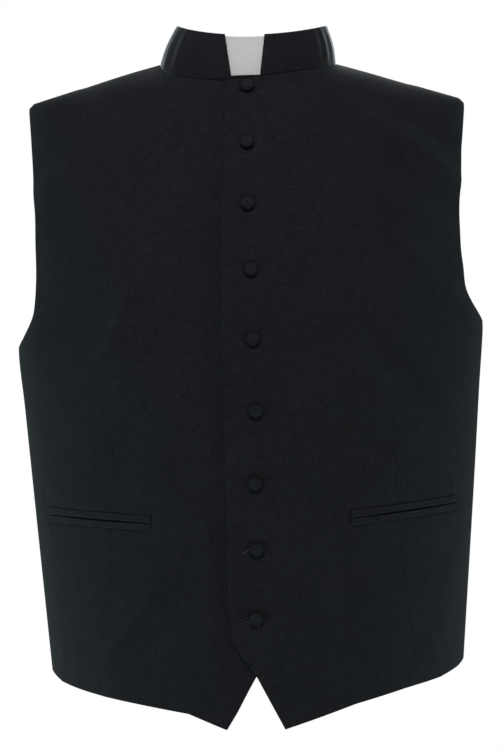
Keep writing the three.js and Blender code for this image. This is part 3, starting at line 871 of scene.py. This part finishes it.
@dataclass
class FrontPanel(Panel):
    """One front, with its edge at the lap, its pointed hem and its dart."""

    edge_line: Rows = ()
    hem_line: Rows = ()
    under: bool = False

    def start_angle(self, station: np.ndarray) -> np.ndarray:
        """The angle of the front's edge at the lap."""
        return FORM.angle_at(station, look_up(self.edge_line, FORM.ring(station).front_z))

    def hem_stations(self, share: np.ndarray) -> np.ndarray:
        """The station at which each column meets the hem."""
        tip = FORM.place(*(np.array(value, float) for value in self.hem_line[0]))[0]
        start, end = self.start_angle(tip), self.hand.value * self.edge_angle(np.array(float(LAST)))
        angle = lerp(start, end, share)

        def above_hem(station: np.ndarray) -> np.ndarray:
            """Whether the point at each station is still above the hem."""
            point = FORM.point(station, angle, Facing.FRONT)
            return point[..., 2] > look_up(self.hem_line, point[..., 0])

        return turning_point(np.full(share.shape, float(NECK)), float(LAST), above_hem)

    def fine_columns(self) -> list[tuple[float, float]]:
        """The stretches at the pocket's ends and along the dart."""
        dart = [(x + side, z) for z, x in DART_LINE if z > DART_FINE_TO for side in (-DART_FINE, DART_FINE)]
        bands = []
        ends = [[(end[0] + side, end[1]) for side in sides]
                for end, sides in zip(POCKET_ENDS[self.hand], POCKET_FINE)]
        for spot in (*ends, dart):
            x, z = np.array(spot).T
            station, angle = FORM.place(self.hand.value * x, z)
            start, end = self.start_angle(station), self.hand.value * self.edge_angle(station)
            share = (angle - start) / (end - start)
            bands.append((float(share.min()), float(share.max())))
        return bands

    def dart(self, x: np.ndarray, z: np.ndarray) -> np.ndarray:
        """The signed distance to the dart."""
        across = np.abs(x) - look_up(DART_LINE, z)
        return np.where(across < 0, -1.0, 1.0) * np.hypot(across, np.maximum(z - DART_START_Z, 0.0))

    def pocket(self, x: np.ndarray, z: np.ndarray) -> tuple[np.ndarray, np.ndarray, np.ndarray]:
        """Where each point lies from the pocket's slit.

        Args:
            x: The points' places across.
            z: The points' heights.

        Returns:
            How far each lies past the slit's end, its distance across the slit, and its signed distance to
            the seam round the welts.
        """
        inner, outer = (np.array(end) for end in POCKET_ENDS[self.hand])
        length = np.hypot(*(outer - inner))
        along = (outer - inner) / length
        u, v = np.abs(x) - (inner[0] + outer[0]) / 2, z - (inner[1] + outer[1]) / 2
        past = np.abs(u * along[0] + v * along[1]) - length / 2
        across = v * along[0] - u * along[1]
        beyond = np.abs(across) - WELT_SLIT / 2 - WELT_HEIGHT
        outside = np.hypot(np.maximum(past, 0.0), np.maximum(beyond, 0.0))
        return past, across, np.where(np.maximum(past, beyond) > 0, outside, np.maximum(past, beyond))

    def seams_and_shade(self, x: np.ndarray, z: np.ndarray) -> np.ndarray:
        """The distances to the dart or the slit, to the seam round it, and to a button or the lap, for
        painted shade.
        """
        dart, (past, across, outline) = self.dart(x, z), self.pocket(x, z)
        line = np.where((past < 0) & (np.abs(across) < np.abs(dart)), across, dart)
        # a painted shadow round each button's rim and along the lap, narrower on the upper front
        from_button = np.min([np.hypot(x - place[0], z - place[1]) for place in BUTTON_PLACES], axis=0)
        beside_lap = x - look_up(LEFT_EDGE, z)
        from_lap = np.where(beside_lap > 0, beside_lap * LAP_SHADOW_NARROWING, -beside_lap) + LAP_SHADOW_OFFSET
        return np.stack([line, outline, np.minimum(from_button - BUTTON_RADIUS, from_lap)], axis=-1)

    def relief(self, x: np.ndarray, z: np.ndarray) -> np.ndarray:
        """The folds and creases, the dart, the pocket, the buttons' dimples and the step at the lap."""
        lift = sum(fold.lift(x, z) for fold in FRONT_FOLDS + FRONT_CREASES)
        dart = self.dart(x, z)
        deep = smooth(DART_START_Z - z, *DART_DEEPENS)
        lift -= sum(depth * np.exp(-(dart / width) ** 2) for depth, width in DART_GROOVES) * deep
        past, across, round_welts = self.pocket(x, z)
        lift -= POCKET_BED * (1 - smooth(round_welts, 0.0, POCKET_BED_RAMP))
        lift -= SLIT_DEPTH * np.exp(-(across / SLIT_SPREAD) ** 2) * smooth(-past, 0.0, SLIT_FADE)
        for button_x, button_z in BUTTON_PLACES:
            lift -= DIMPLE_DEPTH * np.exp(-((x - button_x) ** 2 + (z - button_z) ** 2) / DIMPLE_REACH ** 2)
        lap = np.minimum(look_up(LEFT_EDGE, z) - LAP_BESIDE, LAP_FURTHEST_X)
        step = (FRONT_CLOTH + LAP_GAP) * smooth(x - lap, -LAP_BLEND, 0.0)
        return lift - step if self.under else lift


@dataclass
class BackPanel(Panel):
    """The plain back, from side seam to side seam."""

    def start_angle(self, station: np.ndarray) -> np.ndarray:
        """The angle of the side seam on the wearer's right."""
        return -self.edge_angle(station)

    def hem_stations(self, share: np.ndarray) -> np.ndarray:
        """The station at which each column meets the hem."""
        angle = lerp(-SIDE_ANGLE, SIDE_ANGLE, share)
        hem = lerp(BACK_HEM_SIDE, BACK_HEM_CENTRE, np.cos(angle))
        return turning_point(np.full(share.shape, float(NECK)), float(LAST),
                             lambda at: FORM.point(at, angle, Facing.BACK)[..., 2] > hem)

    def relief(self, x: np.ndarray, z: np.ndarray) -> np.ndarray:
        """The back's folds and creases."""
        return sum(fold.lift(x, z) for fold in BACK_FOLDS + BACK_CREASES)


@dataclass(frozen=True)
class Ripple:
    """An upright ripple in the collar, at a turn in degrees. It goes in where its height is below 0."""

    turn: float
    width: float
    height: float
    low: float = 0.1
    high: float = 0.9

    def lift(self, turn: Values, share: Values) -> Values:
        """How far the ripple moves the band out at each turn, in radians, and share of its height."""
        away = (np.degrees(np.mod(turn + math.pi, 2 * math.pi)) - 180 - self.turn) / self.width
        rise = smooth(share, *(self.low + reach for reach in RIPPLE_STARTS))
        fade = rise * (1 - smooth(share, *(self.high + reach for reach in RIPPLE_ENDS)))
        return self.height * np.exp(-away * away) * fade


COLLAR_RIPPLES = (
    Ripple(-58, 2.6, 0.55, 0.2, 1.0), Ripple(-65, 3.2, -0.5, 0.1, 0.95), Ripple(-74, 3.0, 0.5, 0.0, 0.8),
    Ripple(53, 2.4, 0.35, 0.3, 1.0), Ripple(58, 2.2, -0.35, 0.2, 1.0), Ripple(63, 2.4, 0.6, 0.1, 1.0),
    Ripple(69, 2.4, -0.5, 0.1, 0.95), Ripple(75, 2.6, 0.5, 0.0, 0.8), Ripple(112, 5, 0.5),
    Ripple(122, 5, -0.4), Ripple(-108, 5, 0.5), Ripple(-119, 5, -0.5), Ripple(-160, 7, 0.3),
    Ripple(158, 7, -0.3),
)


@dataclass
class Collar:
    """The standing collar band with the window at its front, and the form that the tab follows too."""

    finish: ClothFinish
    node: str = "collar"
    thickness: float = 3.0
    seam_gap: float = -0.5
    bulge: float = 2.0
    window_x: float = 0.8
    sill_z: float = -19.6
    window_top_z: float = 20.0
    half_sill: float = 13.9
    half_top: float = 18.9
    window_columns: int = 24
    round_columns: int = 230
    round_length: float = 430.0
    sill_rows: int = 14
    sill_height: float = 17.0
    side_rows: int = 30
    side_height: float = 42.0

    def form(self, height: Values, turn: Values) -> np.ndarray:
        """A point of the outer face, by its share of the collar's height and its turn from the front."""
        across, out = np.sin(turn), np.abs(np.cos(turn))
        angle = np.arctan2(across, out)
        halves = []
        for facing in Facing:
            neck = FORM.point(np.full(np.shape(angle), float(NECK)), angle, facing)
            base = neck + (0.0, 0.0, self.seam_gap)
            halves.append(lerp(base, COLLAR_TOP.point(angle, facing), np.asarray(height)[..., None]))
        front = np.cos(turn) >= 0
        facing_sign = np.where(front, Facing.FRONT.value, Facing.BACK.value)
        outward = np.stack(np.broadcast_arrays(across, facing_sign * out, 0.0), axis=-1)
        ripples = sum(ripple.lift(turn, height) for ripple in COLLAR_RIPPLES)
        bulge = (self.bulge * np.sin(math.pi * np.asarray(height)) + ripples)[..., None]
        return np.where(front[..., None], *halves) + outward * bulge

    def normal(self, height: np.ndarray, turn: np.ndarray) -> np.ndarray:
        """The outward normal of the outer face."""
        up = self.form(height + PROBE, turn) - self.form(height - PROBE, turn)
        around = self.form(height, turn + PROBE) - self.form(height, turn - PROBE)
        normal = np.cross(around, up)
        return normal / np.linalg.norm(normal, axis=-1, keepdims=True)

    def height_of_sill(self, turn: np.ndarray) -> np.ndarray:
        """The height share at which each turn reaches the window's sill."""
        return turning_point(np.zeros(np.shape(turn)), 1.0,
                             lambda at: self.form(at, turn)[..., 2] < self.sill_z)

    def window_turn(self, height: np.ndarray, hand: Hand) -> np.ndarray:
        """The turn, counted from the front, at which each height meets one side of the window."""
        spread = (self.half_top - self.half_sill) / (self.window_top_z - self.sill_z)

        def inside(turn: np.ndarray) -> np.ndarray:
            """Whether each point is still in the window."""
            point = self.form(height, hand.value * turn)
            half = self.half_sill + spread * (point[..., 2] - self.sill_z)
            return hand.value * (point[..., 0] - self.window_x) < half

        return turning_point(np.zeros(np.shape(height)), SIDE_ANGLE, inside)

    def cloth(self) -> Cloth:
        """Lays the band's grid so that the window's sill and sides lie on its lines.

        Returns:
            The band's cloth, open at the window.
        """
        middle = self.height_of_sill(np.array([0.0]))
        sill_left, sill_right = (float(self.window_turn(middle, hand)[0]) for hand in (Hand.LEFT, Hand.RIGHT))
        window = np.linspace(0.0, 1.0, self.window_columns + 1)
        around = steps(self.round_columns, self.round_length)[1:-1]

        def turns(left: np.ndarray, right: np.ndarray) -> np.ndarray:
            """The turn of each column, from the window's right side past its left one and round the neck."""
            left, right = np.atleast_1d(left)[:, None], np.atleast_1d(right)[:, None]
            beyond = lerp(left, 2 * math.pi - right, around)
            return np.concatenate([lerp(-right, left, window), beyond], axis=1)

        at_sill = turns(np.array(sill_left), np.array(sill_right))[0]
        wrapped = np.where(at_sill > math.pi, at_sill - 2 * math.pi, at_sill)
        sill = self.height_of_sill(np.clip(wrapped, -sill_right, sill_left))
        below = steps(self.sill_rows, self.sill_height)
        beside = steps(self.side_rows, self.side_height, both=False)[1:]
        height = np.concatenate([below[:, None] * sill, lerp(sill, 1.0, beside[:, None])])
        sill_row, last = len(below) - 1, self.window_columns
        turn = np.concatenate([
            np.repeat(at_sill[None, :], len(below), axis=0),
            turns(self.window_turn(lerp(sill[last], 1.0, beside), Hand.LEFT),
                  self.window_turn(lerp(sill[0], 1.0, beside), Hand.RIGHT)),
        ])
        points, normals = self.form(height, turn), self.normal(height, turn)
        along, up = lengths(points, 1), lengths(points, 0)
        keep = np.ones((len(height) - 1, len(at_sill)), bool)
        keep[sill_row:, :last] = False
        closing = np.linalg.norm(points[:, -1] - points[:, 0], axis=-1)[:, None]
        beside_window = np.minimum(along - along[:, last:last + 1], along[:, -1:] + closing - along)
        beside_window[:, :last + 1] = 0.0
        below_window = np.maximum(up[sill_row] - up, 0.0)
        edge = np.minimum.reduce([np.hypot(beside_window, below_window), up, up[-1:] - up])
        threads = np.stack([along - along[:, last // 2:last // 2 + 1], up], axis=-1)
        return Cloth(points, normals, threads, edge, keep=keep, closed=True)

    def build(self) -> None:
        made = self.cloth().wall("collar_band", self.thickness)
        dress(made, self.finish, self.node)


@dataclass
class CollarTab:
    """The white tab, a curved strip that shows in the collar's window."""

    collar: Collar
    finish: TabFinish
    node: str = "collar_tab"
    thickness: float = 1.0
    half_width: float = 34.0
    bottom: float = 0.03
    top: float = 0.98
    columns: int = 70
    width: float = 78.0
    rows: int = 40
    height: float = 42.0

    def build(self) -> None:
        """Makes the tab behind the collar's inner face and dresses it."""
        half_turn = math.asin(self.half_width / COLLAR_TOP.half_width)
        height = lerp(self.bottom, self.top, steps(self.rows, self.height)[:, None])
        turn = lerp(-half_turn, half_turn, steps(self.columns, self.width)[None, :])
        height, turn = np.broadcast_arrays(height, turn)
        normals = self.collar.normal(height, turn)
        points = self.collar.form(height, turn) - normals * (self.collar.thickness + SEAM_GAP)
        along, up, edge = measure(points)
        cloth = Cloth(points, normals, np.stack([along, up], axis=-1), edge)
        made = cloth.wall("collar_tab_strip", self.thickness)
        dress(made, self.finish, self.node)


@dataclass
class Pocket:
    """One welt pocket, with an upper and a lower welt along its slit."""

    hand: Hand
    finish: ClothFinish
    slit: float = WELT_SLIT
    height: float = WELT_HEIGHT
    mouth: float = 0.55
    mouth_curve: float = 1.5
    roll_curve: float = 0.7
    turned_in: float = 1.2
    thickness: float = 1.3
    bulge: float = 0.4
    columns: int = 90
    rows: int = 14

    def build(self) -> None:
        """Makes both welts and dresses them."""
        for rise in (1.0, -1.0):
            self.welt(rise)

    def welt(self, rise: float) -> None:
        """Makes one welt, rolled at the slit and flat where it is sewn in.

        Args:
            rise: 1 for the upper welt and -1 for the lower one.
        """
        inner, outer = POCKET_ENDS[self.hand]
        length = outer[0] - inner[0]
        share = steps(self.columns, length)[None, :]
        away = steps(self.rows, self.height, near=EDGE_STEPS[:3])[:, None]
        x = self.hand.value * lerp(inner[0], outer[0], share)
        mouth = self.slit / 2 + self.mouth * np.sin(math.pi * share) ** self.mouth_curve * (1 - away) ** 2
        z = lerp(inner[1], outer[1], share) + rise * (mouth + self.height * away)
        x, z = np.broadcast_arrays(x, z)
        roll = self.bulge * np.sin(math.pi * away ** self.roll_curve)
        points, normals = on_front(x, z, SEAM_GAP + self.thickness - POCKET_BED + roll)
        along, down, edge = measure(points)
        threads = np.stack([self.hand.value * along, rise * down], axis=-1)
        node = f"pocket_{'upper' if rise > 0 else 'lower'}_welt_{self.hand.name.lower()}"
        made = Cloth(points, normals, threads, edge).wall(f"{node}_cloth", self.thickness)
        dress(made, self.finish, node)


@dataclass
class CoveredButton:
    """One cloth-covered button on its shank, and the worked buttonhole that it sits in.

    The hole's reach and inner are its ends beside the button, and drop and slant set it below its centre.
    """

    number: int
    x: float
    z: float
    cover: ClothFinish
    stitches: ThreadFinish
    lean_step: float = 2.4
    lean: float = 0.035
    radius: float = BUTTON_RADIUS
    shank_radius: float = 3.0
    shank: float = 0.7
    foot: float = -1.1
    rim: float = 1.3
    rim_drawn: float = 0.75
    rim_round: float = 1.0
    fillet: float = 0.3
    dome: float = 2.9
    crown_curve: float = 1.4
    gathers: int = 13
    gather_depth: float = 0.16
    gather_reach: float = 1.3
    gather_weights: tuple[float, float] = (0.6, 0.4)
    cloth_apart: float = 31.0
    segments: int = 65
    hole_reach: float = 5.8
    hole_inner: float = 2.0
    hole_half: float = 1.1
    hole_drop: float = 0.0
    hole_slant: float = 0.0
    stitch: float = 0.85
    stitch_step: float = 0.21
    thread: float = 0.12
    thread_width: float = 1.5
    thread_sides: int = 10
    stitch_swell: float = 0.3

    def profile(self) -> np.ndarray:
        """The button's half section from the foot of its shank to its crown, as radii and heights."""
        neck, fillet = self.shank_radius, self.fillet
        foot = [(0.4, self.foot), (neck * 0.85, self.foot), (neck, self.foot + fillet),
                (neck, self.shank - fillet), (neck + fillet, self.shank)]
        rim_from = self.radius - self.rim_round
        under = [(lerp(neck + 2 * fillet, rim_from, t), self.shank) for t in np.linspace(0, 1, 5)]
        centre = self.shank + self.rim * self.rim_drawn
        side = [(rim_from + self.rim_round * math.cos(t), centre + self.rim_drawn * self.rim * math.sin(t))
                for t in np.radians(np.linspace(-70, 8, 8))]
        shoulder, top_from = side[-1]
        crown = self.shank + self.rim + self.dome - top_from
        over = [(shoulder * math.cos(t), top_from + crown * math.sin(t) ** self.crown_curve)
                for t in np.radians(np.linspace(5, 89.4, 17))]
        return np.array(foot + under + side + over)

    def seat(self) -> tuple[np.ndarray, np.ndarray, np.ndarray, np.ndarray]:
        """The point under the button, and the directions across, up and out of the cloth there."""
        foot, out = on_front(np.array(self.x), np.array(self.z), SEAM_GAP)
        turn = self.lean_step * self.number
        leaning = out + np.array([math.sin(turn), 0.0, math.cos(turn)]) * self.lean
        leaning /= np.linalg.norm(leaning)
        across = np.cross((0.0, 0.0, 1.0), leaning)
        across /= np.linalg.norm(across)
        return foot, across, np.cross(leaning, across), leaning

    def build(self) -> None:
        """Makes the button and its buttonhole and dresses them."""
        self.build_button()
        self.build_hole()

    def build_button(self) -> None:
        """Makes the covered button, whose cloth is gathered in under its rim."""
        radius, height = (column[:, None] for column in self.profile().T)
        turn = np.linspace(0.0, 2 * math.pi, self.segments, endpoint=False)
        near_rim = np.exp(-((radius - self.radius) / self.gather_reach) ** 2)
        near_rim = near_rim * smooth(height, self.shank - 0.2, self.shank)
        waves = np.cos(self.gathers * turn + self.number), np.cos((self.gathers + 4) * turn)
        pull = sum(wave * weight for wave, weight in zip(waves, self.gather_weights))
        ripple = radius - self.gather_depth * near_rim * (1 - pull)
        foot, across, up, out = self.seat()
        flat_x, flat_y = ripple * np.cos(turn), ripple * np.sin(turn)
        lift = height + 0 * flat_x
        points = foot + flat_x[..., None] * across + flat_y[..., None] * up + lift[..., None] * out
        faces = grid_cells(*flat_x.shape, round_columns=1)[..., [0, 3, 2, 1]].reshape(-1, 4).tolist()
        around = list(range(self.segments))
        faces += [around[::-1], [len(radius) * self.segments - self.segments + index for index in around]]
        node = f"button_{self.number}"
        made = mesh_object(f"{node}_cover", points.reshape(-1, 3), faces)
        seams_and_shade = np.full(points.shape, FAR)
        # painted shade: darkest under the rim and in a ring just inside it
        seams_and_shade[..., 0] = np.where(height < self.shank + 0.6, 0.0, 0.2 + np.maximum(self.radius - radius, 0.0))
        threads = np.stack([flat_x + self.cloth_apart * self.number, flat_y, 0 * flat_x], axis=-1)
        set_attribute(made, "threads", threads)
        set_attribute(made, "edge", np.full(flat_x.size, FAR))
        set_attribute(made, "seams_and_shade", seams_and_shade)
        dress(made, self.cover, node)

    def build_hole(self) -> None:
        """Makes the buttonhole, a loop of close stitches in the left front."""
        total = 2 * (self.hole_reach + self.hole_inner) + 2 * math.pi * self.hole_half
        walk = np.linspace(0.0, total, int(total / self.stitch_step), endpoint=False)
        share = walk / total * 2 * math.pi
        corner = np.clip((np.abs(np.cos(share)) - HOLE_CORNER[0]) / HOLE_CORNER[1], 0, 1)
        x = self.x + lerp(-self.hole_reach, self.hole_inner, (1 + np.cos(share)) / 2)
        rounded = np.sin(share) / np.maximum(np.abs(np.sin(share)), HOLE_ROUND)
        across = self.hole_half * rounded * (1 - HOLE_PINCH * corner)
        z = self.z - self.hole_drop + self.hole_slant * (x - self.x) + across
        path, out = on_front(x, z, self.thread)
        forward = np.roll(path, -1, axis=0) - np.roll(path, 1, axis=0)
        forward /= np.linalg.norm(forward, axis=1, keepdims=True)
        side = np.cross(forward, out)
        around = np.linspace(0.0, 2 * math.pi, self.thread_sides, endpoint=False)[None, :, None]
        swell = 1 + self.stitch_swell * np.abs(np.sin(math.pi * walk / self.stitch))
        swell = self.thread * swell[:, None, None]
        section = np.cos(around) * side[:, None] * self.thread_width + np.sin(around) * out[:, None]
        points = path[:, None] + swell * section
        faces = grid_cells(*points.shape[:2], round_rows=1, round_columns=1).reshape(-1, 4)
        made = mesh_object(f"buttonhole_{self.number}", points.reshape(-1, 3), faces)
        threads = np.zeros(points.shape)
        threads[..., 0] = walk[:, None]
        threads[..., 1] = np.arange(points.shape[1]) * self.thread
        set_attribute(made, "threads", threads)
        dress(made, self.stitches)


@dataclass(frozen=True)
class SoftBox:
    """One large soft light: its name, place, target, size, power in watts and colour."""

    name: str
    place: tuple[float, float, float]
    target: tuple[float, float, float]
    size: tuple[float, float]
    power: float
    tint: tuple[float, float, float] = WHITE[:3]

    def build(self) -> None:
        """Adds the light, which the camera doesn't see."""
        data = bpy.data.lights.new(self.name, "AREA")
        data.shape = "RECTANGLE"
        data.size, data.size_y = self.size
        data.energy = self.power
        data.color = self.tint
        light = bpy.data.objects.new(self.name, data)
        light.location = self.place
        light.rotation_euler = (Vector(self.target) - Vector(self.place)).to_track_quat("-Z", "Y").to_euler()
        light.visible_camera = False
        bpy.context.scene.collection.objects.link(light)


SIDE_TINT = (0.84, 1.0, 0.98)
LIGHTS = (
    SoftBox("side_light_left", (1.5, 0.2, -0.35), (0.1, 0.0, -0.35), (0.7, 1.4), 1.4, SIDE_TINT),
    SoftBox("side_light_right", (-1.5, 0.2, -0.35), (-0.1, 0.0, -0.35), (0.7, 1.4), 1.4, SIDE_TINT),
    SoftBox("low_light_left", (0.8, -0.26, -0.78), (0.1, 0.0, -0.5), (0.4, 0.4), 2.6, SIDE_TINT),
    SoftBox("low_light_right", (-0.78, -0.3, -0.76), (-0.1, 0.0, -0.5), (0.4, 0.4), 3.2, SIDE_TINT),
    SoftBox("front_light", (-0.12, -1.35, 0.95), (0.0, 0.0, -0.25), (0.9, 0.7), 21.4),
    SoftBox("back_light", (0.12, 1.45, 0.8), (0.0, 0.0, -0.3), (0.9, 0.7), 14.0),
)


@dataclass
class Studio:
    """The pale floor, the white surroundings, the soft lights and the camera at the photograph's angle."""

    camera_place: tuple[float, float, float] = (-0.00098, -2.4, -0.3048)
    camera_roll: float = 0.0227
    lens: float = 117.55
    sensor: float = 36.0
    floor_z: float = -1.05
    floor_half: float = 12.0
    ambient: float = 0.215

    def build(self) -> None:
        """Sets up everything round the vest."""
        self.build_floor()
        self.build_world()
        for light in LIGHTS:
            light.build()
        self.build_camera()

    def build_floor(self) -> None:
        """Lays the floor."""
        half = self.floor_half / MM
        corners = [(-half, -half), (half, -half), (half, half), (-half, half)]
        floor = mesh_object("floor", [(x, y, self.floor_z / MM) for x, y in corners], [(0, 1, 2, 3)])
        floor.data.materials.append(FloorFinish().material())

    def build_world(self) -> None:
        """Makes the surroundings white to the camera and a weaker soft light to the vest."""
        world = bpy.data.worlds.new("studio")
        bpy.context.scene.world = world
        graph = Graph(world)
        seen = graph.node("ShaderNodeLightPath", {}, "Is Camera Ray")
        strength = graph.node("ShaderNodeMapRange", {"Value": seen, "To Min": self.ambient, "To Max": 1.0})
        light = graph.node("ShaderNodeBackground", {"Color": WHITE, "Strength": strength})
        graph.finish(light, "ShaderNodeOutputWorld")

    def build_camera(self) -> None:
        """Adds the camera, level along +Y with a slight roll, and sets it as the scene's."""
        data = bpy.data.cameras.new("camera")
        data.sensor_fit = "VERTICAL"
        data.sensor_height = self.sensor
        data.lens = self.lens
        camera = bpy.data.objects.new("camera", data)
        cos, sin = math.cos(self.camera_roll), math.sin(self.camera_roll)
        turn = Matrix(((cos, sin, 0.0), (0.0, 0.0, -1.0), (-sin, cos, 0.0)))
        camera.matrix_world = Matrix.Translation(self.camera_place) @ turn.to_4x4()
        bpy.context.scene.collection.objects.link(camera)
        bpy.context.scene.camera = camera
        bpy.context.scene.view_settings.view_transform = "Standard"


BODY_WOOL = ClothFinish("body_wool")
BACK_WOOL = ClothFinish("back_wool", shift=1.7)
COLLAR_WOOL = ClothFinish("collar_wool", shift=3.1, sheen=0.8, sheen_roughness=0.3,
                          sheen_tint=(0.84, 0.93, 1.0))
# painted light: lighter than the body and lighter at its edges, against the shade of the welts' roll and
# ditch
WELT_WOOL = ClothFinish("welt_wool", tone=1.06, shift=4.3, painted_edge_light=0.5)
# painted shade in a dark ring round each button's rim
BUTTON_WOOL = ClothFinish("button_wool", tone=1.2, shift=5.9, seam_and_shade_width=0.0022, line_seam_and_shade=0.8)
HOLE_THREAD = ThreadFinish("buttonhole_thread", (0.006, 0.007, 0.008))
WORN_THREAD = ThreadFinish("worn_thread", (0.011, 0.011, 0.0106))
WORN_HOLES = {
    8: {"hole_reach": 13.5, "hole_inner": -5.5, "hole_half": 0.3, "hole_drop": -4.9, "hole_slant": 0.7},
    9: {"hole_reach": 9.0, "hole_inner": 3.8, "hole_half": 0.3, "hole_drop": 6.2, "hole_slant": -0.38},
}


@dataclass
class ClergyVest:
    """The whole vest: two fronts, the back, the collar with its tab, the pockets and the covered buttons."""

    left: FrontPanel = field(default_factory=lambda: FrontPanel(
        "front_left", Facing.FRONT, Hand.LEFT, FRONT_CLOTH, BODY_WOOL, (0.31, 0.64), 0.172, FINE_ROWS,
        edge_line=LEFT_EDGE, hem_line=LEFT_HEM))
    right: FrontPanel = field(default_factory=lambda: FrontPanel(
        "front_right", Facing.FRONT, Hand.RIGHT, FRONT_CLOTH, BODY_WOOL, (0.31, 0.64), 0.172, FINE_ROWS,
        edge_line=RIGHT_EDGE, hem_line=RIGHT_HEM, under=True))
    back: BackPanel = field(default_factory=lambda: BackPanel(
        "back", Facing.BACK, Hand.LEFT, BACK_CLOTH, BACK_WOOL, (0.60, 0.60), 0.30, columns=168))
    collar: Collar = field(default_factory=lambda: Collar(COLLAR_WOOL))

    def build(self) -> None:
        """Builds every piece in its place."""
        pieces = [self.back, self.left, self.right, self.collar, CollarTab(self.collar, TabFinish())]
        pieces += [Pocket(hand, WELT_WOOL) for hand in Hand]
        for number, (x, z) in enumerate(BUTTON_PLACES, start=1):
            stitches = WORN_THREAD if number in WORN_HOLES else HOLE_THREAD
            pieces.append(CoveredButton(number, x, z, BUTTON_WOOL, stitches, **WORN_HOLES.get(number, {})))
        for piece in pieces:
            piece.build()


def main() -> None:
    """Builds the studio and the vest."""
    logging.basicConfig(level=logging.INFO, format="%(name)s: %(message)s")
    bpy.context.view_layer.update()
    Studio().build()
    ClergyVest().build()


if __name__ == "__main__":
    main()
